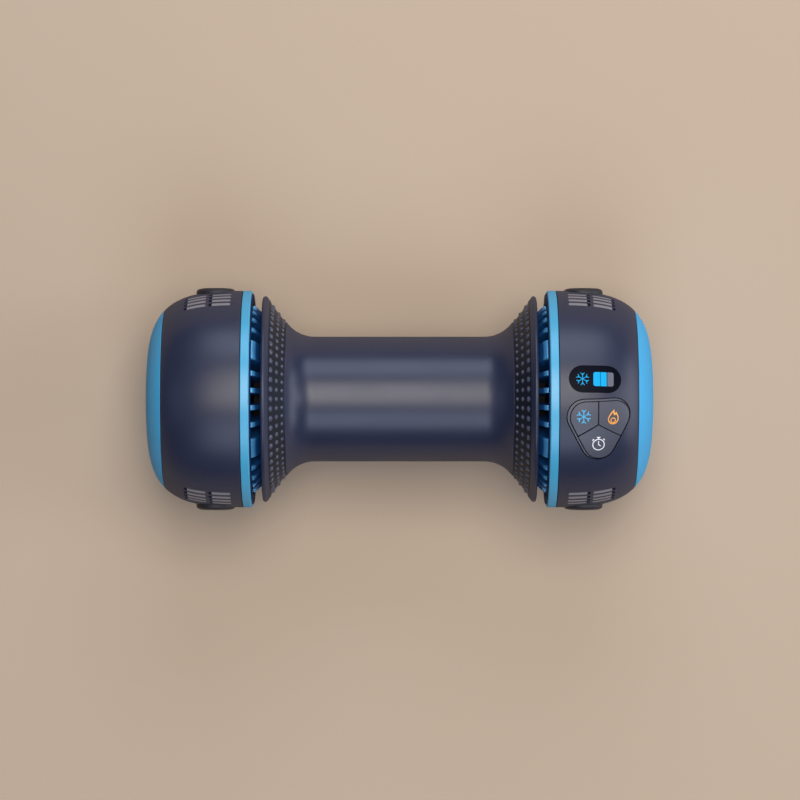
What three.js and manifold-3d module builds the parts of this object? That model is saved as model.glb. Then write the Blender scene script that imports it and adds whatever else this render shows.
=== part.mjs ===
// Palm cooling device, in millimetres, lying on its two feet with the key panel facing up.
// X runs along the grip, Z is up, and the origin is on the resting plane under the middle of the grip.
// A hand closes on the cold grip; the two heads behind its flared ends throw the heat away through
// finned sinks and fans. Both heads are one design, and the left one is the right one turned half round.
import * as THREE from "three";
import { mergeVertices } from "three/addons/utils/BufferGeometryUtils.js";
import Module from "manifold-3d";

const wasm = await Module();
wasm.setup();
const deg = THREE.MathUtils.degToRad;
const sixtySine = Math.sin(deg(60));

// Grip sleeve: a tube that flares like a trumpet towards both heads
const gripRadius = 26.5;
const gripWall = 2.4;
const flareStart = 36;
const flareBend = 14.6;
const flareAngle = deg(52.5);
const rimInset = 2.3; // how far the rim stays under the heads' radius
const rimRound = 1;

// Soft nub band let into each flare
const bandLead = 0.3; // from the end of the bend to the band
const rimStrip = 2.3; // from the band to the rim
const bandDepth = 1;

// Head outline: a rounded drum whose radius falls off as two powers of the distance along it
const headRadius = 46;
const headLength = 46.1;
const headAlongPower = 3.5;
const headRadiusPower = 3.9;
const headGap = 4.6; // from the back of the flare's rim to the trim ring
const headLead = 1.5; // how far the outline's zero lies in front of the trim ring
const headWall = 2.4;
const capDepth = 7.4;
const seam = 0.2;

// Trim ring and the bezel that carries it
const ringWidth = 3.7;
const ringThickness = 2.9;
const ringChamfer = 0.5;
const bezelWall = 2.6;
const bezelLip = 1.2; // how far the bezel's lip stays under the ring's outer face
const bezelLipThickness = 0.35;
const bezelNose = 0.6; // how far the bezel's bore stands in front of the ring
const bezelOverlap = 1.8; // how far the bezel reaches under the head shell

// Heat sink
const sinkBaseThickness = 3;
const sinkHubRadius = 14;
const finReach = 10.6; // from the base's edge to the fin's outer edge
const finNoseDrop = 3.2;
const finNoseLength = 3.4;
const finThickness = 2.3;
const finRoot = 1; // how far a fin runs into the base and the hub
const finPitches = 34;
const pillarPitches = 3; // from the crest to the first pillar
const pillarWidth = 9.2;
const wireHole = 4;

// Peltier stack inside the flare
const peltierSide = 40;
const peltierThickness = 3.6;
const peltierPlate = 0.9;
const peltierCoreInset = 1;
const coldPlateThickness = 3.5;
const coverThickness = 1.8;

// Clamp screws
const screwInset = 4.8; // from the fin's nose to the screw's centre
const screwRadius = 1.2;
const screwHeadRadius = 2.1;
const screwHeadHeight = 1.6;
const screwBite = 2.6;

// Core tube and battery cells
const coreGap = 1.7; // between the core tube and the grip's bore
const coreWall = 1.8;
const cellGap = 0.8; // between the cells and the core tube's bore
const cellLength = 65;
const cellNubRadius = 3;
const cellNubHeight = 0.8;
const holderThickness = 6;
const holderPocket = 4;
const boardThickness = 1.2;
const driverOffset = 7;

// Fan
const fanDepth = 12;
const fanWall = 2.4;
const fanBoardGap = 1.2; // between the fan's tube and the key board
const fanFlangeThickness = 1.5;
const fanHubRadius = 10.5;
const fanShaftRadius = 1.5;
const fanStatorThickness = 2;
const fanSpokeWidth = 3;
const fanBladeCount = 7;
const fanBladePitch = deg(38);
const fanBladeThickness = 1.3;
const fanBladeChord = 9;
const fanBladeRoot = 2; // how far a blade or spoke runs into what carries it

// Air slots on the two sides of each head, above and below the side pad
const slotLength = 9.2;
const slotHeight = 2.3;
const slotPitch = 3.6; // round the head
const slotFirst = 13; // round the head, from the middle of the side to the first row
const slotRows = 4;
const slotMargin = 1; // between the slots and the next step of the shell's curve
const slotColumns = [9.2, 19.65]; // slot centres, measured from the shell's front edge

// Rubber side pads and feet
const padRadius = 8.3;
const padChamfer = 1.7;
const padHeight = 1.6;
const padAlong = 11.6;
const padPocket = 0.8;
const footLength = 17;
const footWidth = 22;
const footCorner = 4;
const footHeight = 1.6;

// Key panel on the right head
const keysLead = 0.45; // from the keypad's centre to the middle of the shell's length
const keysArcLength = 13.45; // from the crest round the head to the keypad's centre
const keysCornerRadius = 7.4;
const keysHalfWidth = 13.4;
const keysHalfHeight = 13.3;
const keysSplitRise = 2.3;
const keyGap = 0.5;
const keyRecess = 0.25;
const keyThickness = 1.7;
const keyTravel = 0.6;
const keyStemRadius = 1.5;
const keyStemSpread = 6.2;
const keyStemRise = 5;
const keyStemDrop = 5.6;
const frameThickness = 1.3;
const framePostRadius = 1.2;
const framePostSpread = 9;
const framePostDrop = 1.5;
const framePostTop = 10.2;
const keyBoardReach = 10.5;
const keyBoardTop = 11.6;
const switchSide = 6;
const switchHeight = 3.4;
const switchFloor = 0.6;
const displayLength = 21.8;
const displayHeight = 11.5;
const displayArcLength = 8.5; // from the crest round the head to the display's centre, the other way
const displayLead = 1.5; // from the display's centre to the keypad's, along the axis
const displayThickness = 2;
const moduleLength = 20;
const moduleWidth = 9.6;
const moduleDepth = 3.2;

// Charge port on the left head
const portInset = 15.1; // from the port to the shell's back edge
const portTilt = deg(145);
const portWidth = 9;
const portHeight = 3.3;
const portDepth = 7.3;
const portWall = 0.4;
const portRecess = 0.8;
const portFloor = 1.2;
const tongueThickness = 0.8;
const tongueInset = 1;
const chargeBoardLength = 18;
const chargeBoardWidth = 11;

// How far the tools that cut the heads reach under the outline and over it
const cutDepth = 12;
const cutProud = 2;
const overrun = 1; // how far a drill runs past the face that it starts or ends at

// Clearances
const fit = 0.3; // between a piece and the pocket or bore that holds it
const film = 0.1; // between flat faces that are clamped together

// Facets round a full turn
const shellFacets = 30;
const gripFacets = 30;
const innerFacets = 20;
const padFacets = 16;
const cellFacets = 12;
const hubFacets = 12;
const holeFacets = 6;
const cornerSteps = 2; // curve steps on a quarter of a rounded outline

// Radii that follow from the head's, working inwards
const ringBore = headRadius - ringThickness;
const bezelRadius = ringBore - fit;
const bezelBore = bezelRadius - bezelWall;
const finRadius = bezelBore - 2 * fit;
const finNoseRadius = finRadius - finNoseDrop;
const sinkBaseRadius = finRadius - finReach;
const screwCircle = finNoseRadius - screwInset;
const rimRadius = headRadius - rimInset;

// Radii that follow from the grip's
const coreRadius = gripRadius - gripWall - coreGap;
const cellRadius = (coreRadius - coreWall - cellGap - fit / 2 / sixtySine) / (1 + 1 / sixtySine);
const bandEndRadius = rimRadius - rimStrip;

// Stations along the axis, as distances from the middle of the grip
const flareEndAt = flareStart + flareBend * Math.sin(flareAngle);
const flareEndRadius = gripRadius + flareBend * (1 - Math.cos(flareAngle));
const bandStartRadius = flareEndRadius + bandLead;
const flareSlope = Math.tan(flareAngle);
const rimCentreRadius = rimRadius - rimRound;
const rimTouchRadius = rimCentreRadius + rimRound * Math.cos(flareAngle);
const rimCentreAt = flareAt(rimTouchRadius) + rimRound * Math.sin(flareAngle);
const rimBack = rimCentreAt + rimRound;
const coverBack = rimBack - fit;
const coverFront = coverBack - coverThickness;
const sinkFront = coverBack + fit;
const peltierBack = sinkFront - film;
const peltierFront = peltierBack - peltierThickness;
const coldBack = peltierFront - film;
const coldFront = coldBack - coldPlateThickness;
const coreEnd = coldFront - film;
const ringFront = rimBack + headGap;
const ringBack = ringFront + ringWidth;
const shellFront = ringBack + seam;
const headStart = ringFront - headLead;
const headEnd = headStart + headLength;
const capFront = headEnd - capDepth;
const shellBack = capFront - seam;
const bezelBack = shellFront + bezelOverlap;
const fanFront = bezelBack + film;
const fanBack = fanFront + fanDepth;
const statorFront = fanBack - fanStatorThickness;
const axisHeight = headRadius + footHeight;
const keysAt = (shellFront + shellBack) / 2 - keysLead;
const displayAt = keysAt - displayLead;
const spigotFront = keysAt + keysHalfWidth + fit; // the end cap's spigot stops behind the keypad
const portAt = shellBack - portInset;

// Tilts round the axis, from the crest
const keysTilt = keysArcLength / headRadius;
const displayTilt = -displayArcLength / headRadius;

// The key board lies as high as the switches leave room for, and the fan fits under it
const frameDepth = headWall + fit;
const switchCorner = [keyStemSpread + switchSide / 2, keyStemRise + switchSide / 2];
const boardTop = keyHeight(...switchCorner, frameDepth + frameThickness + 2 * fit) - switchHeight - film;
const fanRadius = boardTop - boardThickness - fanBoardGap;

// Distance along the axis at which the straight part of the flare reaches a radius.
function flareAt(radius) {
  return flareEndAt + (radius - flareEndRadius) / flareSlope;
}

// Radius of the flare's inner face, a wall's thickness inside the straight part.
function bellRadiusAt(along, gap = 0) {
  const inset = gripWall + gap;
  const shifted = along - inset * Math.sin(flareAngle);
  return flareEndRadius + (shifted - flareEndAt) * flareSlope - inset * Math.cos(flareAngle);
}

// Radius of the head's outline at a distance along the axis.
function headRadiusAt(along) {
  const share = THREE.MathUtils.clamp((along - headStart) / headLength, 0, 1);
  return headRadius * (1 - share ** headAlongPower) ** (1 / headRadiusPower);
}

// Solids and meshes

// A closed geometry as a solid for cutting and joining.
function solidOf(geometry) {
  const bare = new THREE.BufferGeometry();
  bare.setAttribute("position", geometry.getAttribute("position"));
  bare.setIndex(geometry.index);
  const merged = mergeVertices(bare, 1e-4);
  const corners = merged.index.array;
  const faces = [];
  for (let i = 0; i < corners.length; i += 3) {
    const [a, b, c] = corners.slice(i, i + 3);
    if (a !== b && b !== c && c !== a) faces.push([a, b, c]);
  }
  const positions = merged.getAttribute("position").array;
  const made = manifold(positions, faces);
  if (made.volume() > 0) return made;
  return manifold(positions, faces.map(([a, b, c]) => [a, c, b]));
}

function manifold(positions, faces) {
  const triVerts = Uint32Array.from(faces.flat());
  return new wasm.Manifold(new wasm.Mesh({ numProp: 3, vertProperties: positions, triVerts }));
}

function geometryOf(solid) {
  const mesh = solid.getMesh();
  const geometry = new THREE.BufferGeometry();
  geometry.setAttribute("position", new THREE.BufferAttribute(mesh.vertProperties, 3));
  geometry.setIndex(new THREE.BufferAttribute(mesh.triVerts, 1));
  return geometry;
}

function joined(solids) {
  return solids.reduce((whole, next) => whole.add(next));
}

function cutBy(solid, tools) {
  return tools.reduce((left, tool) => left.subtract(tool), solid);
}

function addPiece(parent, name, solid, material) {
  const mesh = new THREE.Mesh(geometryOf(solid), material);
  mesh.name = name;
  parent.add(mesh);
  return mesh;
}

// Shapes

// A profile of [along, radius] points turned about the X axis. It is closed if it doesn't end on the axis.
// The first facet starts at the top, so that the facet at each side faces straight out.
function revolve(profile, facets) {
  const points = profile.map(([along, radius]) => new THREE.Vector2(radius, along));
  if (points[0].x > 0) points.push(points[0].clone());
  return solidOf(new THREE.LatheGeometry(points, facets).rotateZ(-Math.PI / 2));
}

function ring(from, to, innerRadius, outerRadius, facets) {
  return revolve([[from, innerRadius], [from, outerRadius], [to, outerRadius], [to, innerRadius]], facets);
}

function disc(from, to, radius, facets) {
  return revolve([[from, 0], [from, radius], [to, radius], [to, 0]], facets);
}

// Points on an arc in the [along, radius] plane.
function arc(centreAt, centreRadius, radius, from, to, steps) {
  return Array.from({ length: steps + 1 }, (_, i) => {
    const angle = from + ((to - from) * i) / steps;
    return [centreAt + radius * Math.cos(angle), centreRadius + radius * Math.sin(angle)];
  });
}

// The head's outline between two stations, drawn in by an inset, with its points closer where it curves more.
function headOutline(from, to, inset, steps) {
  const shareAt = (along) => Math.min((along - headStart) / headLength, 1);
  const turnAt = (along) => Math.asin(shareAt(along) ** (headAlongPower / 2));
  const [first, last] = [turnAt(from), turnAt(to)];
  return Array.from({ length: steps + 1 }, (_, i) => {
    const turn = first + ((last - first) * i) / steps;
    const along = headStart + headLength * Math.sin(turn) ** (2 / headAlongPower);
    return [along, headRadiusAt(along) - inset];
  });
}

// The shell's outline in a few long facets, none of which ends inside an air slot.
function shellOutline(inset) {
  const [first, second] = slotColumns;
  const between = shellFront + (first + second) / 2;
  const behind = shellFront + second + slotLength / 2 + slotMargin;
  const last = (behind + shellBack) / 2;
  return [shellFront, between, behind, last, shellBack].map((along) => [along, headRadiusAt(along) - inset]);
}

// A curved layer of the shell between two depths under its outer face.
function shellLayer(outerDepth, innerDepth) {
  return revolve([...shellOutline(outerDepth), ...shellOutline(innerDepth).reverse()], shellFacets);
}

// A flat outline, x along the axis and y round the head, made solid between two heights over the axis.
function radialPrism(shape, along, tilt, from, to) {
  const options = { depth: to - from, bevelEnabled: false, curveSegments: cornerSteps };
  const prism = new THREE.ExtrudeGeometry(shape, options);
  return solidOf(prism.translate(along, 0, from).rotateX(tilt));
}

// The same through the head's wall, as a cutter or as a blank for what fits the cut.
function headPrism(shape, along, tilt) {
  return radialPrism(shape, along, tilt, headRadius - cutDepth, headRadius + cutProud);
}

function radialCylinder(radius, x, y, along, tilt, from, to, facets = holeFacets) {
  const cylinder = new THREE.CylinderGeometry(radius, radius, to - from, facets);
  return solidOf(cylinder.rotateX(Math.PI / 2).translate(along + x, y, (from + to) / 2).rotateX(tilt));
}

function axialCylinder(radius, from, to, circle, angle, facets = holeFacets) {
  const cylinder = new THREE.CylinderGeometry(radius, radius, to - from, facets);
  return solidOf(cylinder.rotateZ(-Math.PI / 2).translate((from + to) / 2, 0, circle).rotateX(angle));
}

function box(from, to, width, height) {
  return solidOf(new THREE.BoxGeometry(to - from, width, height).translate((from + to) / 2, 0, 0));
}

// A convex outline round three or more circles of one radius, listed anticlockwise.
function outlineRound(centres, radius) {
  const shape = new THREE.Shape();
  const count = centres.length;
  const heading = (a, b) => Math.atan2(b[1] - a[1], b[0] - a[0]);
  centres.forEach((centre, i) => {
    const arriving = heading(centres[(i + count - 1) % count], centre) - Math.PI / 2;
    const leaving = heading(centre, centres[(i + 1) % count]) - Math.PI / 2;
    shape.absarc(centre[0], centre[1], radius, arriving, leaving, false);
  });
  return shape;
}

function rectangle(left, right, low, high) {
  return new THREE.Shape([
    [left, low], [right, low], [right, high], [left, high],
  ].map(([x, y]) => new THREE.Vector2(x, y)));
}

function roundedRectangle(length, width, corner) {
  const x = length / 2 - corner;
  const y = width / 2 - corner;
  return outlineRound([[x, -y], [x, y], [-x, y], [-x, -y]], corner);
}

function pill(length, width) {
  const x = (length - width) / 2;
  return outlineRound([[x, -0.01], [x, 0.01], [-x, 0.01], [-x, -0.01]], width / 2);
}

function keypadOutline(inset) {
  const x = keysHalfWidth - keysCornerRadius;
  const y = keysHalfHeight - keysCornerRadius;
  return outlineRound([[0, -y], [x, y], [-x, y]], keysCornerRadius - inset);
}

// Materials

function finish(color, roughness, metalness) {
  return new THREE.MeshStandardMaterial({ color, roughness, metalness });
}

const navyCoat = finish(0x3a4152, 0.45, 0.3);
const navyPlastic = finish(0x363d4f, 0.5, 0);
const softRubber = finish(0x23262e, 0.8, 0);
const blueTrim = finish(0x4fa6d8, 0.4, 0.2);
const blueAnodised = finish(0x1f6fb2, 0.35, 0.9);
const bareAluminium = finish(0xb9bcc0, 0.35, 1);
const ceramicWhite = finish(0xe9e7e0, 0.5, 0);
const blackPlastic = finish(0x17181b, 0.5, 0);
const screwSteel = finish(0x8b8e93, 0.3, 1);
const cellWrap = finish(0x2f6b4f, 0.45, 0);
const circuitBoard = finish(0x16402c, 0.5, 0);
const darkLens = finish(0x0b0d14, 0.1, 0);
const keyPlastic = finish(0x4c505f, 0.5, 0);
const pressedSteel = finish(0xa6a8ab, 0.3, 1);

// A bore on the axis that the wires pass through.
function wireHoleCutter(from, to) {
  return disc(from - overrun, to + overrun, wireHole, holeFacets);
}

// Grip

// One end of the sleeve's outer face, from the straight tube to the rim, with the recess for the nub band.
function flareOuter() {
  const normalAt = flareAngle + Math.PI / 2;
  const bend = arc(flareStart, gripRadius + flareBend, flareBend, -Math.PI / 2, flareAngle - Math.PI / 2, 3);
  const recess = (radius) => [
    flareAt(radius) + bandDepth * Math.sin(flareAngle),
    radius - bandDepth * Math.cos(flareAngle),
  ];
  return [
    ...bend,
    [flareAt(bandStartRadius), bandStartRadius],
    recess(bandStartRadius),
    recess(bandEndRadius),
    [flareAt(bandEndRadius), bandEndRadius],
    ...arc(rimCentreAt, rimCentreRadius, rimRound, normalAt, 0, 2),
  ];
}

// The same end's inner face, from the rim back to the straight tube.
function flareInner() {
  const innerBend = flareBend + gripWall;
  const bend = arc(flareStart, gripRadius + flareBend, innerBend, flareAngle - Math.PI / 2, -Math.PI / 2, 2);
  return [[rimBack, bellRadiusAt(rimBack)], ...bend];
}

const mirrored = (points) => points.map(([along, radius]) => [-along, radius]).reverse();

function gripSleeve() {
  const outer = [...mirrored(flareOuter()), ...flareOuter()];
  const inner = [...flareInner(), ...mirrored(flareInner())];
  return revolve([...outer, ...inner], gripFacets);
}

function nubBand() {
  const back = bandDepth - fit;
  const end = (radius) => [
    [flareAt(radius), radius],
    [flareAt(radius) + back * Math.sin(flareAngle), radius - back * Math.cos(flareAngle)],
  ];
  const [startTop, startBack] = end(bandStartRadius + fit);
  const [endTop, endBack] = end(bandEndRadius - fit);
  return revolve([startTop, endTop, endBack, startBack], gripFacets);
}

function coldPlate() {
  const plate = revolve([
    [coldFront, 0],
    [coldFront, bellRadiusAt(coldFront, fit)],
    [coldBack, bellRadiusAt(coldBack, fit)],
    [coldBack, 0],
  ], innerFacets);
  return cutBy(plate, [
    wireHoleCutter(coldFront, coldBack),
    ...screwAngles.map((angle) =>
      axialCylinder(screwRadius + fit, coldBack - screwBite - fit, coldBack + overrun, screwCircle, angle)),
  ]);
}

function peltier() {
  const [front, back] = [peltierFront + peltierPlate, peltierBack - peltierPlate];
  const coreSide = peltierSide - 2 * peltierCoreInset;
  return joined([
    box(peltierFront, front, peltierSide, peltierSide),
    box(front, back, coreSide, coreSide),
    box(back, peltierBack, peltierSide, peltierSide),
  ]);
}

function bellCover() {
  const plate = revolve([
    [coverFront, 0],
    [coverFront, bellRadiusAt(coverFront, fit)],
    [coverBack, bellRadiusAt(coverBack, fit)],
    [coverBack, 0],
  ], innerFacets);
  const window = peltierSide + 2 * fit;
  return cutBy(plate, [
    box(coverFront - overrun, coverBack + overrun, window, window),
    ...screwAngles.map((angle) => axialCylinder(
      screwRadius + fit, coverFront - overrun, coverBack + overrun, screwCircle, angle)),
  ]);
}

// Where the three cells stand round the axis, touching each other with a clearance.
const cellCircle = (cellRadius + fit / 2) / sixtySine;
const cellAngles = [0, 1, 2].map((i) => (i * 2 * Math.PI) / 3);

function batteryCell(angle) {
  return axialCylinder(cellRadius, -cellLength / 2, cellLength / 2, cellCircle, angle, cellFacets)
    .add(axialCylinder(cellNubRadius, cellLength / 2, cellLength / 2 + cellNubHeight, cellCircle, angle));
}

function cellHolder() {
  const front = cellLength / 2 - holderPocket;
  const holder = disc(front, front + holderThickness, coreRadius - coreWall - fit, innerFacets);
  const pockets = cellAngles.map((angle) =>
    axialCylinder(cellRadius + fit, front - overrun, cellLength / 2 + fit, cellCircle, angle, cellFacets));
  const contacts = cellAngles.map((angle) =>
    axialCylinder(cellNubRadius + fit, front, front + holderThickness + overrun, cellCircle, angle));
  return cutBy(holder, [...pockets, ...contacts]);
}

function driverBoard() {
  const at = cellLength / 2 - holderPocket + holderThickness + driverOffset;
  return disc(at, at + boardThickness, coreRadius - coreWall - fit, innerFacets)
    .subtract(wireHoleCutter(at, at + boardThickness));
}

// Head

const finPitch = (2 * Math.PI) / finPitches;
const pillarAngle = pillarPitches * finPitch;
const screwAngles = [pillarAngle, -pillarAngle, Math.PI - pillarAngle, Math.PI + pillarAngle];
const screwSeat = sinkFront + sinkBaseThickness;
const finBack = bezelBack;

// A fin seen from its side, with its nose cut back towards the grip.
function finPlate(thickness, angle) {
  const shape = new THREE.Shape([
    [sinkFront, sinkBaseRadius - finRoot],
    [sinkFront, finNoseRadius],
    [sinkFront + finNoseLength, finRadius],
    [finBack, finRadius],
    [finBack, sinkHubRadius - finRoot],
    [sinkFront + finRoot, sinkHubRadius - finRoot],
  ].map(([along, radius]) => new THREE.Vector2(along, radius)));
  const plate = new THREE.ExtrudeGeometry(shape, { depth: thickness, bevelEnabled: false });
  return solidOf(plate.translate(0, 0, -thickness / 2).rotateX(Math.PI / 2 + angle));
}

function heatSink() {
  const core = revolve([
    [sinkFront, 0],
    [sinkFront, sinkBaseRadius],
    [screwSeat, sinkBaseRadius],
    [screwSeat, sinkHubRadius],
    [finBack, sinkHubRadius],
    [finBack, 0],
  ], innerFacets);
  const fins = [];
  for (let i = 0; i < finPitches; i++) {
    const angle = (i + 0.5) * finPitch;
    const nearPillar = screwAngles.some((at) => Math.cos(angle - at) > Math.cos(0.6 * finPitch));
    if (!nearPillar) fins.push(finPlate(finThickness, angle));
  }
  const pillars = screwAngles.map((angle) => finPlate(pillarWidth, angle));
  const holes = screwAngles.flatMap((angle) => [
    axialCylinder(screwHeadRadius + fit, screwSeat, finBack + overrun, screwCircle, angle),
    axialCylinder(screwRadius + fit, sinkFront - overrun, screwSeat + overrun, screwCircle, angle),
  ]);
  return cutBy(joined([core, ...fins, ...pillars]), [wireHoleCutter(sinkFront, finBack), ...holes]);
}

function clampScrew(angle) {
  const seat = screwSeat + film;
  const head = axialCylinder(screwHeadRadius, seat, seat + screwHeadHeight, screwCircle, angle);
  const shank = axialCylinder(screwRadius, coldBack - screwBite, seat, screwCircle, angle);
  return head.add(shank);
}

function bezel() {
  const lipRadius = headRadius - bezelLip;
  const lipBack = ringFront - film;
  return revolve([
    [ringFront - bezelNose, bezelBore],
    [lipBack - bezelLipThickness, lipRadius],
    [lipBack, lipRadius],
    [lipBack, bezelRadius],
    [bezelBack, bezelRadius],
    [bezelBack, bezelBore],
  ], shellFacets);
}

function trimRing() {
  return revolve([
    [ringFront, ringBore],
    [ringFront, headRadius - ringChamfer],
    [ringFront + ringChamfer, headRadius],
    [ringBack, headRadius],
    [ringBack, ringBore],
  ], shellFacets);
}

// The slots lie in two columns and stand in mirrored sets above and below each side pad.
function slotCutters() {
  const shape = rectangle(-slotLength / 2, slotLength / 2, -slotHeight / 2, slotHeight / 2);
  const cutters = [];
  for (const side of [-1, 1]) {
    for (const half of [-1, 1]) {
      for (let row = 0; row < slotRows; row++) {
        const tilt = side * (Math.PI / 2) + (half * (slotFirst + row * slotPitch)) / headRadius;
        for (const column of slotColumns) {
          cutters.push(headPrism(shape, shellFront + column, tilt));
        }
      }
    }
  }
  return cutters;
}

// A round blank across the shell's outer face. Its slope is how much it narrows per millimetre outwards.
function padBlank(radius, slope, tilt) {
  const [outer, inner] = [radius - slope * cutProud, radius + slope * cutProud];
  const cone = new THREE.CylinderGeometry(outer, inner, 2 * cutProud, padFacets);
  return solidOf(cone.rotateX(Math.PI / 2).translate(shellFront + padAlong, 0, headRadius).rotateX(tilt));
}

function sidePad(tilt) {
  return padBlank(padRadius, 0, tilt)
    .intersect(padBlank(padRadius, padChamfer / padHeight, tilt))
    .intersect(shellLayer(-padHeight, padPocket - film));
}

function padPocketCutter(tilt) {
  return padBlank(padRadius + fit, 0, tilt).intersect(shellLayer(-padHeight, padPocket));
}

function foot() {
  const shape = roundedRectangle(footLength, footWidth, footCorner);
  const block = radialPrism(shape, shellFront + padAlong, Math.PI, headRadius - cutDepth, axisHeight);
  const floorOutline = [[shellFront, 0], ...shellOutline(padPocket - film), [shellBack, 0]];
  return block.subtract(revolve(floorOutline, shellFacets));
}

function footPocketCutter() {
  const shape = roundedRectangle(footLength + 2 * fit, footWidth + 2 * fit, footCorner + fit);
  const block = radialPrism(shape, shellFront + padAlong, Math.PI, headRadius - cutDepth, axisHeight);
  return block.intersect(shellLayer(-padHeight, padPocket));
}

const padTilts = { front: Math.PI / 2, back: -Math.PI / 2 };

function headShell(extraCutters) {
  return cutBy(shellLayer(0, headWall), [
    ...slotCutters(),
    ...Object.values(padTilts).map(padPocketCutter),
    footPocketCutter(),
    ...extraCutters,
  ]);
}

function endCap() {
  const spigotRadius = headRadiusAt(shellBack) - headWall - fit;
  const outer = headOutline(capFront, headEnd, 0, 4);
  const inner = [
    [headEnd - headWall, 0],
    [headEnd - headWall, headRadiusAt(headEnd - headWall) * 0.7],
    [capFront + headWall, spigotRadius - headWall],
    [spigotFront, spigotRadius - headWall],
    [spigotFront, spigotRadius],
    [capFront, spigotRadius],
  ];
  return revolve([...outer, ...inner], shellFacets);
}

// Fan

const fanBore = fanRadius - fanWall;

function fanFrame() {
  const tube = revolve([
    [fanFront, fanBore],
    [fanFront, finRadius],
    [fanFront + fanFlangeThickness, finRadius],
    [fanFront + fanFlangeThickness, fanRadius],
    [fanBack, fanRadius],
    [fanBack, fanBore],
  ], innerFacets);
  const stator = ring(statorFront, fanBack, fanShaftRadius + fit, fanHubRadius, hubFacets);
  const spokes = [0, 1, 2, 3].map((i) => {
    const inner = fanHubRadius - fanBladeRoot;
    const outer = fanBore + fanWall / 2;
    const bar = new THREE.BoxGeometry(fanStatorThickness, fanSpokeWidth, outer - inner);
    bar.translate((statorFront + fanBack) / 2, 0, (inner + outer) / 2);
    return solidOf(bar.rotateX(deg(45 + 90 * i)));
  });
  return joined([tube, stator, ...spokes]);
}

function fanRotor() {
  const hubFront = fanFront + fanFlangeThickness;
  const hubBack = statorFront - 2 * fit;
  const hub = disc(hubFront, hubBack, fanHubRadius, hubFacets);
  const shaft = disc(hubBack - fanBladeRoot, fanBack - fit, fanShaftRadius, holeFacets);
  const sweepRadius = fanBore * Math.cos(Math.PI / innerFacets) - 2 * fit;
  const tip = Math.sqrt(sweepRadius ** 2 - (fanBladeChord / 2) ** 2);
  const root = fanHubRadius - fanBladeRoot;
  const blades = Array.from({ length: fanBladeCount }, (_, i) => {
    const blade = new THREE.BoxGeometry(fanBladeChord, fanBladeThickness, tip - root);
    blade.rotateZ(fanBladePitch).translate((hubFront + hubBack) / 2, 0, (tip + root) / 2);
    return solidOf(blade.rotateX((i * 2 * Math.PI) / fanBladeCount));
  });
  return joined([hub, shaft, ...blades]);
}

// Key panel

const keySpots = {
  cool: { bisector: deg(150), stem: [-keyStemSpread, keyStemRise] },
  heat: { bisector: deg(30), stem: [keyStemSpread, keyStemRise] },
  timer: { bisector: deg(-90), stem: [0, -keyStemDrop] },
};

// Height over the tilted panel's axis plane at a place on the keypad, a depth under the shell's outer face.
function keyHeight(x, y, depth) {
  return Math.sqrt((headRadiusAt(keysAt + x) - depth) ** 2 - y ** 2);
}

// A third of the keypad: the sector between two of its three dividing lines.
function keySector(bisector) {
  const reach = 3 * keysHalfWidth;
  const apexShift = keyGap / 2 / Math.sin(deg(60));
  const apex = new THREE.Vector2(0, keysSplitRise)
    .add(new THREE.Vector2(Math.cos(bisector), Math.sin(bisector)).multiplyScalar(apexShift));
  const corner = (turn) => apex.clone()
    .add(new THREE.Vector2(Math.cos(bisector + turn), Math.sin(bisector + turn)).multiplyScalar(reach));
  return new THREE.Shape([apex, corner(deg(-60)), corner(deg(60))]);
}

function keyCap({ bisector, stem }) {
  const cap = headPrism(keypadOutline(keyGap), keysAt, keysTilt)
    .intersect(headPrism(keySector(bisector), keysAt, keysTilt))
    .intersect(shellLayer(keyRecess, keyRecess + keyThickness));
  const stemEnd = boardTop + film + switchFloor + keyTravel + fit;
  const stemRoot = keyHeight(...stem, keyRecess + keyThickness / 2);
  return cap.add(radialCylinder(keyStemRadius, ...stem, keysAt, keysTilt, stemEnd, stemRoot));
}

function keypadFrame() {
  const postSpots = [
    [-framePostSpread, -framePostDrop], [framePostSpread, -framePostDrop], [0, framePostTop],
  ];
  const behindBezel = rectangle(bezelBack + fit - keysAt, headRadius, -headRadius, headRadius);
  const plate = headPrism(keypadOutline(0), keysAt, keysTilt)
    .intersect(headPrism(behindBezel, keysAt, keysTilt))
    .intersect(shellLayer(frameDepth, frameDepth + frameThickness));
  const posts = postSpots.map(([x, y]) => {
    const top = keyHeight(x, y, frameDepth + frameThickness / 2);
    return radialCylinder(framePostRadius, x, y, keysAt, keysTilt, boardTop + film, top);
  });
  const holes = Object.values(keySpots).map(({ stem }) =>
    radialCylinder(keyStemRadius + fit, ...stem, keysAt, keysTilt, headRadius - cutDepth, headRadius));
  return cutBy(joined([plate, ...posts]), holes);
}

function keyBoard() {
  const from = fanFront + fanFlangeThickness + 2 * fit - keysAt;
  const shape = rectangle(from, keyBoardReach, -keyBoardReach, keyBoardTop);
  return radialPrism(shape, keysAt, keysTilt, boardTop - boardThickness, boardTop);
}

function keySwitch({ stem }) {
  const bottom = boardTop + film;
  const body = new THREE.BoxGeometry(switchSide, switchSide, switchHeight);
  body.translate(keysAt + stem[0], stem[1], bottom + switchHeight / 2).rotateX(keysTilt);
  const well = radialCylinder(
    keyStemRadius + fit, ...stem, keysAt, keysTilt, bottom + switchFloor, bottom + switchHeight + overrun);
  return solidOf(body).subtract(well);
}

function displayWindow() {
  return headPrism(pill(displayLength - fit, displayHeight - fit), displayAt, displayTilt)
    .intersect(shellLayer(fit / 2, displayThickness));
}

function displayModule() {
  const shape = roundedRectangle(moduleLength, moduleWidth, 1);
  return headPrism(shape, displayAt, displayTilt)
    .intersect(shellLayer(headWall + fit, headWall + fit + moduleDepth));
}

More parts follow.
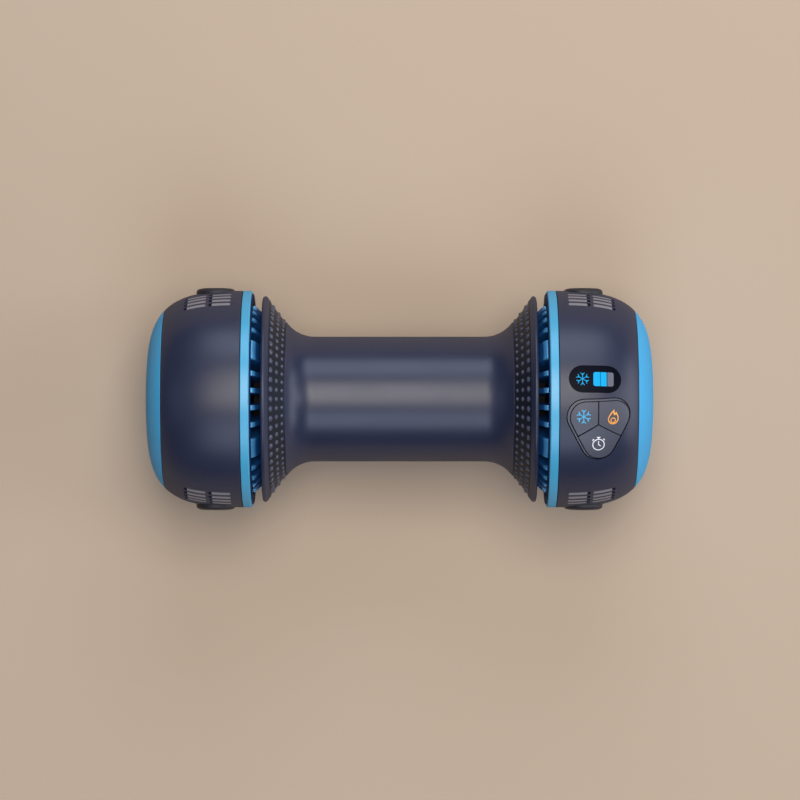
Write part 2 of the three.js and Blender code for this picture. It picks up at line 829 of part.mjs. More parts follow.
function panelCutters() {
  return [
    headPrism(keypadOutline(0), keysAt, keysTilt),
    headPrism(pill(displayLength, displayHeight), displayAt, displayTilt),
  ];
}

// Charge port

const portMouth = headRadiusAt(portAt) - portRecess;

function portCutter() {
  return headPrism(pill(portWidth + 2 * fit, portHeight + 2 * fit), portAt, portTilt);
}

function chargePort() {
  const shell = radialPrism(pill(portWidth, portHeight), portAt, portTilt, portMouth - portDepth, portMouth);
  const bore = radialPrism(pill(portWidth - 2 * portWall, portHeight - 2 * portWall), portAt, portTilt,
    portMouth - portDepth + portFloor, portMouth + overrun);
  const reach = portWidth / 2 - portWall - tongueInset;
  const blade = rectangle(-reach, reach, -tongueThickness / 2, tongueThickness / 2);
  const tongue = radialPrism(blade, portAt, portTilt,
    portMouth - portDepth + portFloor / 2, portMouth - tongueInset);
  return shell.subtract(bore).add(tongue);
}

function chargeBoard() {
  const top = portMouth - portDepth - film;
  const shape = roundedRectangle(chargeBoardLength, chargeBoardWidth, 1);
  return radialPrism(shape, portAt, portTilt, top - boardThickness, top);
}

// Assembly

function buildGrip() {
  const grip = new THREE.Group();
  addPiece(grip, "grip_sleeve", gripSleeve(), navyCoat);
  const coreTube = ring(-coreEnd, coreEnd, coreRadius - coreWall, coreRadius, innerFacets);
  addPiece(grip, "core_tube", coreTube, bareAluminium);
  cellAngles.forEach((angle, i) => addPiece(grip, `battery_cell_${i + 1}`, batteryCell(angle), cellWrap));
  addPiece(grip, "driver_board", driverBoard(), circuitBoard);
  return grip;
}

// Everything outboard of the battery at one end. Positive X leads away from the grip.
function buildHead(side, shellCutters) {
  const head = new THREE.Group();
  const add = (name, solid, material) => addPiece(head, `${name}_${side}`, solid, material);
  add("nub_band", nubBand(), softRubber);
  add("cell_holder", cellHolder(), blackPlastic);
  add("cold_plate", coldPlate(), bareAluminium);
  add("peltier", peltier(), ceramicWhite);
  add("bell_cover", bellCover(), navyPlastic);
  add("heat_sink", heatSink(), blueAnodised);
  screwAngles.forEach((angle, i) => add(`clamp_screw_${i + 1}`, clampScrew(angle), screwSteel));
  add("bezel", bezel(), navyPlastic);
  add("trim_ring", trimRing(), blueTrim);
  add("head_shell", headShell(shellCutters), navyPlastic);
  add("end_cap", endCap(), blueTrim);
  add("fan_frame", fanFrame(), blackPlastic);
  add("fan_rotor", fanRotor(), blackPlastic);
  add("foot", foot(), softRubber);
  for (const [place, tilt] of Object.entries(padTilts)) add(`side_pad_${place}`, sidePad(tilt), softRubber);
  return head;
}

function addPanel(head) {
  addPiece(head, "display_window", displayWindow(), darkLens);
  addPiece(head, "display_module", displayModule(), blackPlastic);
  addPiece(head, "keypad_frame", keypadFrame(), blackPlastic);
  addPiece(head, "key_board", keyBoard(), circuitBoard);
  for (const [name, spot] of Object.entries(keySpots)) {
    addPiece(head, `button_${name}`, keyCap(spot), keyPlastic);
    addPiece(head, `key_switch_${name}`, keySwitch(spot), blackPlastic);
  }
}

function addChargePort(head) {
  addPiece(head, "charge_port", chargePort(), pressedSteel);
  addPiece(head, "charge_board", chargeBoard(), circuitBoard);
}

const device = new THREE.Group();
device.position.z = axisHeight;
const rightHead = buildHead("right", panelCutters());
addPanel(rightHead);
const leftHead = buildHead("left", [portCutter()]);
addChargePort(leftHead);
leftHead.rotation.z = Math.PI;
device.add(buildGrip(), rightHead, leftHead);

export default device;
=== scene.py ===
# %% [markdown]
# # A palm cooling device, dressed for a studio picture
#
# The device looks like a small dumbbell. A cold metal grip flares out at both ends, and behind each
# flare sits a round head with a blue heat sink, a fan and air slots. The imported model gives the
# exact sizes and places. This notebook gives every visible part its real surface: smooth turned
# shells, soft nubs, finely made keys, and the finishes that the maker would choose.

# %% Load the frame
import math

import bpy
from mathutils import Matrix, Vector


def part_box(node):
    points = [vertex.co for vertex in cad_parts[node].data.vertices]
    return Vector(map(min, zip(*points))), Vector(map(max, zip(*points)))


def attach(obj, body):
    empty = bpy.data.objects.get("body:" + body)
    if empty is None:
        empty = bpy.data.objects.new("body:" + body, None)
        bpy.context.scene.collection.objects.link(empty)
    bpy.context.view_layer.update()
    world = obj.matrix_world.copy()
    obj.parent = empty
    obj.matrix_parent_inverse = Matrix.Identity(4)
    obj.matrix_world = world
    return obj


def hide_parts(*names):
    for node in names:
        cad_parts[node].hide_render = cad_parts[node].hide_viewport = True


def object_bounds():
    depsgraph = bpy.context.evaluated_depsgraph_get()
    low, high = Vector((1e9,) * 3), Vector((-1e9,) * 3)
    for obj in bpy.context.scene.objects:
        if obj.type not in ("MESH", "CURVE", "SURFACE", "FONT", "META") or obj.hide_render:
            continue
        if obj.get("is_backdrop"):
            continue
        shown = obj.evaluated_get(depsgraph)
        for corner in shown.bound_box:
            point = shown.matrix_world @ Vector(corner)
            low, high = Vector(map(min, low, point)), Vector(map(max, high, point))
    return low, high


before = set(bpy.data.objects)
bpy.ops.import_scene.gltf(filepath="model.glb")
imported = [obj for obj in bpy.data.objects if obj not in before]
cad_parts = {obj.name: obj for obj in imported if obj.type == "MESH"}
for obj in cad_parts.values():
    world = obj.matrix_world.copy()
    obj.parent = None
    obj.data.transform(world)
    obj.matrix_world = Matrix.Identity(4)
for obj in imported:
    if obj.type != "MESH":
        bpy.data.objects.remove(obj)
cad_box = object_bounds()
print("nodes in the frame:", len(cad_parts))

# %% [markdown]
# ## Sizes that the pieces share
#
# Blender works in metres, but a device of this size is easier to think about in millimetres. So
# sizes are written in millimetres and multiplied by `MM` only where Blender takes them. The long
# axis runs along X, and its height above the table comes from the grip's own box. The head's
# outline starts a little before its ring, by the head's lead.

# %% Shared sizes
MM = 0.001
MERGE = 0.002 * MM
grip_low, grip_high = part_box("grip_sleeve")
AXIS = (grip_low.z + grip_high.z) / 2 / MM
RIM_BACK = grip_high.x / MM
RING_FRONT, RING_BACK = (corner.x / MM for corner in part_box("trim_ring_right"))
BEZEL_FRONT, BEZEL_BACK = (corner.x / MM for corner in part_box("bezel_right"))
SHELL_FRONT, SHELL_BACK = (corner.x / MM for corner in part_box("head_shell_right"))
SINK_FRONT, SINK_BACK = (corner.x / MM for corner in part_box("heat_sink_right"))
HEAD_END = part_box("end_cap_right")[1].x / MM
HEAD_LEAD = 1.5
HEAD_START = RING_FRONT - HEAD_LEAD
HEAD_LENGTH = HEAD_END - HEAD_START
HEAD_RADIUS = 46.0
HEAD_WALL = 2.4
SEAM = 0.2
print(f"axis {AXIS:.2f} mm up, rim {RIM_BACK:.2f}, shell {SHELL_FRONT:.2f} to {SHELL_BACK:.2f}")

# %% [markdown]
# ## Everyday moves
#
# Most of Blender's tools act on whatever is selected, so each step first deselects everything and
# picks its own piece. These helpers are the moves that a modeller repeats by hand: pick a piece,
# apply a modifier, copy it, turn it round the axis, or join it to others.

# %% Pick, copy and apply
def pick(*pieces):
    """Selects these pieces alone and makes the last one active."""
    bpy.ops.object.select_all(action="DESELECT")
    for piece in pieces:
        piece.select_set(True)
    bpy.context.view_layer.objects.active = pieces[-1]


def apply_modifier(piece, kind, **settings):
    pick(piece)
    bpy.ops.object.modifier_add(type=kind)
    modifier = piece.modifiers[-1]
    for setting, value in settings.items():
        setattr(modifier, setting, value)
    bpy.ops.object.modifier_apply(modifier=modifier.name)
    return piece


def settle(piece):
    """Moves a piece's place into its mesh, so that its object sits at the origin."""
    pick(piece)
    bpy.ops.object.transform_apply(location=True, rotation=True, scale=True)
    return piece


def copy_of(piece, name):
    pick(piece)
    bpy.ops.object.duplicate()
    bpy.context.object.name = name
    return bpy.context.object


def joined(name, pieces):
    pick(*pieces)
    if len(pieces) > 1:
        bpy.ops.object.join()
    bpy.context.object.name = name
    return bpy.context.object


def remove(*pieces):
    pick(*pieces)
    bpy.ops.object.delete()


# %% Turn and cut
def turned(piece, tilt):
    """Turns a piece about the long axis, from the crest towards the keys' side."""
    pick(piece)
    bpy.ops.transform.rotate(value=-tilt, orient_axis="X", center_override=(0, 0, AXIS * MM))
    return settle(piece)


def half_turn(piece):
    """Turns a piece half round, from the right head to its place on the left head."""
    pick(piece)
    bpy.ops.transform.rotate(value=math.pi, orient_axis="Z", center_override=(0, 0, 0))
    return settle(piece)


def other_end(piece, name):
    return half_turn(copy_of(piece, name))


def cut(piece, *tools, operation="DIFFERENCE"):
    """Cuts a piece with others, or keeps only what they share, and removes the tools."""
    tool = joined("cutting_tool", list(tools))
    apply_modifier(piece, "BOOLEAN", object=tool, operation=operation, solver="EXACT")
    remove(tool)
    return piece


def smoothed(piece, angle=32):
    """Smooths the shading over gentle edges. Large faces lead, so cut edges leave no dark smears."""
    pick(piece)
    bpy.ops.object.shade_smooth_by_angle(angle=math.radians(angle))
    return apply_modifier(piece, "WEIGHTED_NORMAL", keep_sharp=True)


def bevelled(piece, width, segments=2, angle=40):
    return apply_modifier(
        piece, "BEVEL", width=width * MM, segments=segments, limit_method="ANGLE",
        angle_limit=math.radians(angle))


# %% [markdown]
# ## Drawing lines, sheets and blocks
#
# A modeller starts a section with one point and pulls it along the outline, edge by edge. A closed
# line can be filled to a flat sheet, and a sheet pulled up to a block. Spinning a line about an
# axis gives what a lathe would make. Merging the doubles closes the seam and the poles, and the
# faces are then turned outwards, because a spin doesn't know which side is out.

# %% Lines, sheets and blocks
def merge_doubles():
    bpy.ops.mesh.select_all(action="SELECT")
    bpy.ops.mesh.remove_doubles(threshold=MERGE)


def extrude(step):
    bpy.ops.mesh.extrude_region_move(TRANSFORM_OT_translate={"value": Vector(step) * MM})


def draw(name, points, closed=True):
    """Draws a line through points in mm and stays in edit mode."""
    bpy.ops.object.select_all(action="DESELECT")
    bpy.ops.mesh.primitive_plane_add(size=MM, location=Vector(points[0]) * MM)
    piece = bpy.context.object
    piece.name = name
    bpy.ops.object.mode_set(mode="EDIT")
    bpy.ops.mesh.select_all(action="SELECT")
    bpy.ops.mesh.merge(type="CENTER")
    path = [*points, points[0]] if closed else points
    for start, end in zip(path, path[1:]):
        extrude(Vector(end) - Vector(start))
    merge_doubles()
    return piece


def finish_mesh(piece):
    """Merges doubles, turns the faces outwards and leaves edit mode."""
    merge_doubles()
    bpy.ops.mesh.select_all(action="SELECT")
    bpy.ops.mesh.normals_make_consistent(inside=False)
    bpy.ops.object.mode_set(mode="OBJECT")
    return settle(piece)


def sheet(name, outline, height, along=0):
    """A flat sheet from (x, y) points in mm at a height over the axis, still in edit mode."""
    piece = draw(name, [(along + x, y, AXIS + height) for x, y in outline])
    bpy.ops.mesh.edge_face_add()
    return piece


def pull_up(piece, height):
    bpy.ops.mesh.select_all(action="SELECT")
    extrude((0, 0, height))
    return finish_mesh(piece)


def block(name, outline, low, high, along=0, tilt=0):
    """A block over the axis between two heights, turned to its place round the head."""
    return turned(pull_up(sheet(name, outline, low, along), high - low), tilt)


# %% The lathe
def spun(name, points, centre, axis, steps, closed=True):
    piece = draw(name, points, closed)
    bpy.ops.mesh.spin(steps=steps, angle=math.tau, center=Vector(centre) * MM, axis=axis)
    return finish_mesh(piece)


def lathe(name, profile, steps=180):
    """Spins a profile of (along, radius) points in mm about the long axis."""
    closed = profile[0][1] > 0
    points = [(along, 0, AXIS + radius) for along, radius in profile]
    return spun(name, points, (0, 0, AXIS), (1, 0, 0), steps, closed)


# %% Curves for outlines
def arc(centre, radius, start, end, steps):
    """Points on an arc, with its angles in degrees from the first axis towards the second."""
    turns = [math.radians(start + (end - start) * i / steps) for i in range(steps + 1)]
    return [(centre[0] + radius * math.cos(t), centre[1] + radius * math.sin(t)) for t in turns]


def outline_round(centres, radius, steps=8):
    """A convex outline round circles of one radius, whose centres are listed anticlockwise."""
    points = []
    for i, centre in enumerate(centres):
        before = Vector(centres[i]) - Vector(centres[i - 1])
        after = Vector(centres[(i + 1) % len(centres)]) - Vector(centres[i])
        start = math.degrees(math.atan2(before.y, before.x)) - 90
        sweep = math.degrees(math.atan2(after.y, after.x)) - 90 - start
        points += arc(centre, radius, start, start + sweep % 360, steps)
    return points


def rounded_rectangle(length, width, corner, steps=5):
    x, y = length / 2 - corner, width / 2 - corner
    return outline_round([(x, -y), (x, y), (-x, y), (-x, -y)], corner, steps)


def circle(radius, steps=48):
    return arc((0, 0), radius, 0, 360 * (1 - 1 / steps), steps - 1)


def pill(length, width, steps=12):
    x = (length - width) / 2
    return outline_round([(x, -0.01), (x, 0.01), (-x, 0.01), (-x, -0.01)], width / 2, steps)


def moved(outline, x, y, turn=0):
    """An outline turned anticlockwise by degrees and then moved to a place."""
    t = math.radians(turn)
    return [(x + u * math.cos(t) - v * math.sin(t), y + u * math.sin(t) + v * math.cos(t))
            for u, v in outline]


# %% [markdown]
# ## Paints and plastics
#
# A shader starts from what the real surface is made of. One helper adds a node with its settings
# and its links, and others build the steps that the finishes share. Patterns are sized in
# millimetres and read Object coordinates, so they stay with the piece when it moves.

# %% Node helpers
def linear(hex_colour):
    """An sRGB hex colour as the linear values that a shader works in."""
    parts = [int(hex_colour[i:i + 2], 16) / 255 for i in (1, 3, 5)]
    return [c / 12.92 if c <= 0.04045 else ((c + 0.055) / 1.055) ** 2.4 for c in parts] + [1]


def add(material, kind, inputs, **settings):
    """Adds a node. An input that is another node's output is linked, and any other is set."""
    made = material.node_tree.nodes.new("ShaderNode" + kind)
    for setting, value in settings.items():
        setattr(made, setting, value)
    for name, value in inputs.items():
        if isinstance(value, bpy.types.NodeSocket):
            material.node_tree.links.new(value, made.inputs[name])
        else:
            made.inputs[name].default_value = value
    return made


def start_finish(name, **sockets):
    """A new material, with its shader's constants set, and the place on the piece."""
    material = bpy.data.materials.new(name)
    material.use_nodes = True
    shader = material.node_tree.nodes["Principled BSDF"]
    for socket, value in sockets.items():
        shader.inputs[socket.replace("_", " ")].default_value = value
    return material, shader, add(material, "TexCoord", {}).outputs["Object"]


def link(material, output, shader, name):
    material.node_tree.links.new(output, shader.inputs[name])


def toned(material, share, tones):
    """A colour between two hex colours that follows a pattern."""
    inputs = {0: share, 6: linear(tones[0]), 7: linear(tones[1])}
    return add(material, "Mix", inputs, data_type="RGBA").outputs[2]


def drifting_gloss(material, share, roughness, drift):
    """A roughness that follows a pattern, up to a drift to either side."""
    return add(material, "MapRange", {
        "Value": share, "From Min": 0.3, "From Max": 0.7,
        "To Min": roughness - drift, "To Max": roughness + drift}).outputs["Result"]


# %% [markdown]
# ## A finish with grain
#
# Moulded plastic, rubber and paint share one recipe. Two close tones drift over the surface in
# soft patches, the gloss drifts with them, and a fine grain roughens the light. Real mould grain
# is about 0.1 mm, which is finer than a pixel here, so it is drawn up to ten times as coarse and
# very shallow.

# %% Grained finishes
def grained(name, tones, roughness, grain, depth, patch=30, drift=0.05, veil=0.0, **sockets):
    """Tones are two hex colours. Grain, depth and patch are in mm. Veil dulls the glancing gloss."""
    material, shader, place = start_finish(name, **sockets)
    patches = add(material, "TexNoise", {"Vector": place, "Scale": 1000 / patch, "Detail": 3.0})
    colour = toned(material, patches.outputs["Fac"], tones)
    gloss = drifting_gloss(material, patches.outputs["Fac"], roughness, drift)
    if veil:
        glance = add(material, "LayerWeight", {"Blend": 0.35}).outputs["Facing"]
        haze = add(
            material, "MapRange", {"Value": glance, "From Min": 0.2, "From Max": 0.9, "To Max": veil})
        gloss = add(material, "Math", {0: gloss, 1: haze.outputs["Result"]}, operation="ADD").outputs[0]
    grit = add(material, "TexNoise", {"Vector": place, "Scale": 1000 / grain, "Detail": 2.0})
    bump = add(material, "Bump", {"Height": grit.outputs["Fac"], "Distance": depth * MM})
    link(material, colour, shader, "Base Color")
    link(material, gloss, shader, "Roughness")
    link(material, bump.outputs["Normal"], shader, "Normal")
    return material


# Two-part satin paint, sprayed on turned aluminium: soft highlights with a faint orange peel.
satin_navy_paint = grained(
    "satin_navy_paint", ("#1e2439", "#222840"), 0.37, 1.6, 0.006, drift=0.03, veil=0.3,
    Specular_IOR_Level=0.45)
# Injection-moulded ABS with a fine spark-eroded grain, so the highlight is broad and calm.
moulded_navy_abs = grained(
    "moulded_navy_abs", ("#1e2439", "#22283f"), 0.4, 0.9, 0.006, drift=0.03, veil=0.3,
    Specular_IOR_Level=0.45)
# The cone behind the fins is moulded in deep blue ABS, darkened further as painted shade and left matt, so
# that the gap stays dark.
shade_dark_blue_abs = grained(
    "shade_dark_blue_abs", ("#0a1c40", "#0d2149"), 0.6, 0.9, 0.006, drift=0.03, Specular_IOR_Level=0.12)
# Compression-moulded silicone. The strip is painted nearly black and dull as shade round the nubs,
# and the nubs paler and glossier as a painted highlight, so that each nub shows a small light.
shade_dark_silicone = grained(
    "shade_dark_silicone", ("#11151f", "#151924"), 0.5, 0.8, 0.004, Specular_IOR_Level=0.25)
highlight_pale_silicone = grained("highlight_pale_silicone", ("#363b4d", "#444a5d"), 0.3, 0.8, 0.002, patch=3)
# Solid rubber for pads and feet, dull from the mould's sandblasted face.
moulded_black_rubber = grained("moulded_black_rubber", ("#15161c", "#1b1c23"), 0.6, 0.6, 0.02)
# Sprayed sky-blue lacquer over plastic, smoother than the bare ABS.
sky_blue_lacquer = grained(
    "sky_blue_lacquer", ("#3298ca", "#389dce"), 0.36, 2.0, 0.003, drift=0.03, veil=0.4,
    Specular_IOR_Level=0.4)
# The ring is sprayed in a slightly greyer mix of the same lacquer, and a little glossier.
pale_blue_lacquer = grained(
    "pale_blue_lacquer", ("#3c98be", "#429cc2"), 0.34, 2.0, 0.003, drift=0.03, veil=0.4)
# Key caps moulded in a paler grey ABS and left satin, so that the printed signs stand out.
moulded_grey_abs = grained("moulded_grey_abs", ("#3d404d", "#424552"), 0.44, 0.7, 0.004)
# Glass-filled nylon of the fan, matt black.
moulded_black_nylon = grained("moulded_black_nylon", ("#101114", "#17181c"), 0.55, 0.7, 0.01)
# Grey nylon of the slats. Its pale grey is a painted highlight of lit slot walls, so slots show as light
# bars.
highlight_grey_nylon = grained("highlight_grey_nylon", ("#76757b", "#807f85"), 0.45, 0.7, 0.006)
print("grained finishes:", len(bpy.data.materials))

# %% [markdown]
# ## Metals
#
# A metal shows the tool that made it. Fins are sawn and brushed before they are anodised, so
# their streaks run along X, and pressed steel is brushed too. Stretching a noise pattern along
# one direction gives such streaks.

# %% Metal finishes
def brushed(name, tones, roughness, streak, metallic=1.0, shade_tones=None, edge=None, **sockets):
    """A metal with streaks along X. Streak is their width in mm. Deep tones are painted shade, laid within
    the edge radius.
    """
    stretch, drift = 12, 0.08
    material, shader, place = start_finish(name, Metallic=metallic, **sockets)
    stretched = add(material, "Mapping", {"Vector": place, "Scale": (1 / stretch, 1, 1)})
    streaks = add(material, "TexNoise", {
        "Vector": stretched.outputs["Vector"], "Scale": 1000 / streak, "Detail": 3.0})
    colour = toned(material, streaks.outputs["Fac"], tones)
    gloss = drifting_gloss(material, streaks.outputs["Fac"], roughness, drift)
    bump = add(material, "Bump", {"Height": streaks.outputs["Fac"], "Distance": 0.004 * MM})
    # Painted shade: within a radius of the axis the colour turns to the darker tones, where shade falls
    # between the fins.
    if shade_tones:
        centred = add(material, "VectorMath", {0: place, 1: (0, 0, AXIS * MM)}, operation="SUBTRACT")
        across = add(material, "VectorMath", {0: centred.outputs[0], 1: (0, 1, 1)}, operation="MULTIPLY")
        reach = add(material, "VectorMath", {0: across.outputs[0]}, operation="LENGTH").outputs["Value"]
        share = add(material, "MapRange", {
            "Value": reach, "From Min": edge[0] * MM, "From Max": edge[1] * MM})
        painted_shade = toned(material, streaks.outputs["Fac"], shade_tones)
        mix = {0: share.outputs["Result"], 6: painted_shade, 7: colour}
        colour = add(material, "Mix", mix, data_type="RGBA").outputs[2]
    link(material, colour, shader, "Base Color")
    link(material, gloss, shader, "Roughness")
    link(material, bump.outputs["Normal"], shader, "Normal")
    return material


# Aluminium fins, brushed and dyed blue. Within a radius of the axis the blue is painted darker, as
# shade between the fins, and the outer edges stay pale and bright.
blue_anodised_aluminium = brushed(
    "blue_anodised_aluminium", ("#4392cc", "#56a2d8"), 0.36, 0.5, metallic=0.3,
    shade_tones=("#0c3868", "#12467c"), edge=(38.2, 39.2))
# The turned core is coloured nearly black and dull as painted shade, so the gaps look deep.
shade_black_aluminium = brushed(
    "shade_black_aluminium", ("#07080b", "#0b0d12"), 0.6, 0.6, metallic=0.0, Specular_IOR_Level=0.1)
# Bare turned aluminium of the inner tube and plates.
turned_aluminium = brushed("turned_aluminium", ("#a9acb0", "#bcbfc3"), 0.35, 0.6)
# Stainless steel of screws and of the charge port's shell.
brushed_steel = brushed("brushed_steel", ("#8d9095", "#a2a5aa"), 0.3, 0.4)

# %% [markdown]
# ## Glass, ink, light and hidden parts
#
# The display lies behind a dark glass. Its signs are lit from below, so they shine by themselves.
# The signs on the keys are printed in ink. The parts that sit inside the casing get plain
# versions of their real materials, because the slots let a little of them show.

# %% Glass, ink and light
def glowing(name, tones):
    """A lit sign: its two tones drift a little, as liquid-crystal segments do."""
    material, shader, place = start_finish(
        name, Base_Color=linear("#0a0a0c"), Roughness=0.4, Specular_IOR_Level=0.05,
        Emission_Strength=1.0)
    cells = add(material, "TexNoise", {"Vector": place, "Scale": 1000 / 2.5, "Detail": 1.0})
    link(material, toned(material, cells.outputs["Fac"], tones), shader, "Emission Color")
    return material


# Dark glass with an anti-glare etch and coating: it stays near black even under the studio light.
dark_glass = grained(
    "dark_glass", ("#07080f", "#0d101c"), 0.35, 3.0, 0.001, drift=0.03, Specular_IOR_Level=0.03)
# Pad-printed inks, slightly uneven as thin ink is.
blue_ink = grained("blue_ink", ("#2f9fd0", "#3bacdc"), 0.4, 0.5, 0.002, patch=2)
orange_ink = grained("orange_ink", ("#e0943a", "#e8a248"), 0.4, 0.5, 0.002, patch=2)
white_ink = grained("white_ink", ("#dcdce2", "#e8e8ec"), 0.4, 0.5, 0.002, patch=2)
cyan_light = glowing("cyan_light", ("#0fb4fb", "#16c0ff"))
blue_light = glowing("blue_light", ("#0868a4", "#0a72b0"))
unlit_segment = grained(
    "unlit_segment", ("#5e5f6a", "#676873"), 0.4, 0.5, 0.001, patch=2, Specular_IOR_Level=0.05)

# %% Hidden parts
white_ceramic = grained("white_ceramic", ("#dedbd2", "#e9e6de"), 0.5, 0.5, 0.004)
cell_sleeve = grained("cell_sleeve", ("#2a644a", "#326e53"), 0.35, 1.5, 0.003)
green_circuit_board = grained("green_circuit_board", ("#133a28", "#194530"), 0.4, 0.8, 0.01, patch=3)

HIDDEN_FINISHES = (
    (turned_aluminium, ("core_tube", "cold_plate")),
    (brushed_steel, ("clamp_screw",)),
    (cell_sleeve, ("battery_cell",)),
    (white_ceramic, ("peltier",)),
    (green_circuit_board, ("driver_board", "key_board", "charge_board")),
    (moulded_navy_abs, ("bell_cover",)),
    (moulded_black_nylon, (
        "cell_holder", "fan_frame", "fan_rotor", "keypad_frame", "key_switch", "display_module")))
dressed = 0
for node_name, node_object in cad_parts.items():
    for finish, starts in HIDDEN_FINISHES:
        if node_name.startswith(starts):
            node_object.data.materials.clear()
            node_object.data.materials.append(finish)
            dressed += 1
print("hidden nodes dressed:", dressed)

# %% [markdown]
# ## Handing a piece over
#
# Each finished piece gets its material and rides on the body that carries it, and the parts of the
# imported model that it stands for are hidden. Most pieces of the right head have a twin on the
# left one, so a second helper hands over both.

# %% Hand over
def hand_over(piece, material, slot, *nodes, body="housing"):
    piece.data.materials.clear()
    piece.data.materials.append(material)
    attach(piece, body)
    if nodes:
        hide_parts(*nodes)
    return piece


def hand_over_both(piece, material, slot, *nodes, angle=32):
    """Hands over a smoothed piece of the right head and its twin on the left one."""
    smoothed(piece, angle)
    twin = other_end(piece, piece.name.replace("right", "left"))
    for part, end in ((twin, "_left"), (piece, "_right")):
        hand_over(part, material, slot, *[node + end for node in nodes])


# %% [markdown]
# ## The grip
#
# The grip is one painted metal tube. Its middle is straight, for the fingers, and both ends open
# into a flare that stops the hand from sliding. The flare is an arc that runs on into a straight
# cone and ends in a rounded rim. It could be made from a cylinder by scaling its loops, but one
# section spun on the lathe keeps the wall even, and a groove in each cone takes the nub band.

# %% The flare's section
GRIP_RADIUS = 26.5
GRIP_WALL = 2.4
FLARE_START = 36.0
FLARE_BEND = 14.6
FLARE_ANGLE = 52.5
RIM_RADIUS = 43.7
RIM_ROUND = 1.0
BAND_START = 32.5
BAND_END = 41.4
flare_sine = math.sin(math.radians(FLARE_ANGLE))
flare_cosine = math.cos(math.radians(FLARE_ANGLE))
bend_centre = (FLARE_START, GRIP_RADIUS + FLARE_BEND)
cone_start = (FLARE_START + FLARE_BEND * flare_sine, bend_centre[1] - FLARE_BEND * flare_cosine)


def flare_at(radius, depth=0):
    """The point of the cone at a radius, moved into the wall by a depth."""
    along = cone_start[0] + (radius - cone_start[1]) * flare_cosine / flare_sine
    return (along + depth * flare_sine, radius - depth * flare_cosine)


def mirrored(points):
    return [(-along, radius) for along, radius in reversed(points)]


# %% Spin the grip
rim_centre = (RIM_BACK - RIM_ROUND, RIM_RADIUS - RIM_ROUND)
outer = [(FLARE_START / 2, GRIP_RADIUS)]
outer += arc(bend_centre, FLARE_BEND, -90, FLARE_ANGLE - 90, 14)
outer += [flare_at(BAND_START - 0.1), flare_at(BAND_START, 0.1), flare_at(BAND_START, 0.95)]
outer += [flare_at(BAND_END, 0.95), flare_at(BAND_END, 0.1), flare_at(BAND_END + 0.1)]
outer += arc(rim_centre, RIM_ROUND, FLARE_ANGLE + 90, 0, 8)
bell_edge = flare_at(RIM_RADIUS, GRIP_WALL)
bell_edge_radius = bell_edge[1] + (RIM_BACK - bell_edge[0]) * flare_sine / flare_cosine
inner = [(RIM_BACK, bell_edge_radius)]
inner += arc(bend_centre, FLARE_BEND + GRIP_WALL, FLARE_ANGLE - 90, -90, 8)
grip = lathe("grip_body", mirrored(outer) + outer + inner + mirrored(inner), 240)
smoothed(grip)
hand_over(grip, satin_navy_paint, "grip_coat", "grip_sleeve")
print("grip faces:", len(grip.data.polygons))

# %% [markdown]
# ## Nub bands
#
# A soft band with three rows of nubs keeps the hand from turning. The strip and the nubs are two
# pieces: the strip is painted nearly black as shade round the nubs, and the nubs paler as a painted
# highlight. On the mould each nub is a small dimple cut by a ball-nosed tool, so it comes out as a
# dome with a soft foot. One dome is spun about a line that stands square on the cone. An Array
# modifier with an empty turned by one step sets the sixty nubs of a row, as a polar pattern does in
# CAD. The rows' domes grow towards the rim.

# %% A nub and its rows
NUBS_PER_ROW = 60
NUB_ROWS = {33.7: 0.85, 36.5: 1.0, 39.5: 1.2}
NUB_HEIGHT = 0.6
NUB_DEPTH = 0.46
NUB_PROFILE = [
    (0.0, 1.0), (0.2, 0.96), (0.38, 0.84), (0.55, 0.6), (0.72, 0.32), (0.88, 0.1), (1.0, 0.0),
    (1.0, -0.1), (0.0, -0.1)]


def ring_of(piece, count):
    """Repeats a piece evenly round the long axis."""
    step = math.tau / count
    pivot = Vector((0, 0, AXIS * MM))
    bpy.ops.object.empty_add(rotation=(step, 0, 0), location=pivot - Matrix.Rotation(step, 3, "X") @ pivot)
    guide = bpy.context.object
    bpy.context.view_layer.update()
    apply_modifier(
        piece, "ARRAY", count=count, use_relative_offset=False, use_object_offset=True,
        offset_object=guide)
    remove(guide)
    return piece


def nub_row(radius, size):
    """One nub at the crest, standing square on the cone, repeated round the band."""
    foot_at, foot_radius = flare_at(radius, NUB_DEPTH)
    out = Vector((-flare_sine, 0, flare_cosine))
    side = Vector((flare_cosine, 0, flare_sine))
    foot = Vector((foot_at, 0, AXIS + foot_radius))
    points = [foot + side * across * size + out * up * NUB_HEIGHT for across, up in NUB_PROFILE]
    return ring_of(spun("nub_row", points, foot, out, 12, closed=False), NUBS_PER_ROW)


# %% The bands
band_profile = [
    flare_at(BAND_START + 0.12, 0.1), flare_at(BAND_START + 0.5, NUB_DEPTH),
    flare_at(BAND_END - 0.6, NUB_DEPTH), flare_at(BAND_END - 0.12, 0.1),
    flare_at(BAND_END - 0.12, 0.92), flare_at(BAND_START + 0.12, 0.92)]
band = lathe("nub_strip_right", band_profile, 240)
nubs = joined("nubs_right", [nub_row(radius, size) for radius, size in NUB_ROWS.items()])
# The strip's dark colour is painted shade round the nubs, and the nubs' pale colour is a painted
# highlight.
hand_over_both(band, shade_dark_silicone, "soft_rubber", "nub_band", angle=50)
hand_over_both(nubs, highlight_pale_silicone, "soft_rubber", "nub_band", angle=50)
print("nub faces:", len(nubs.data.polygons))
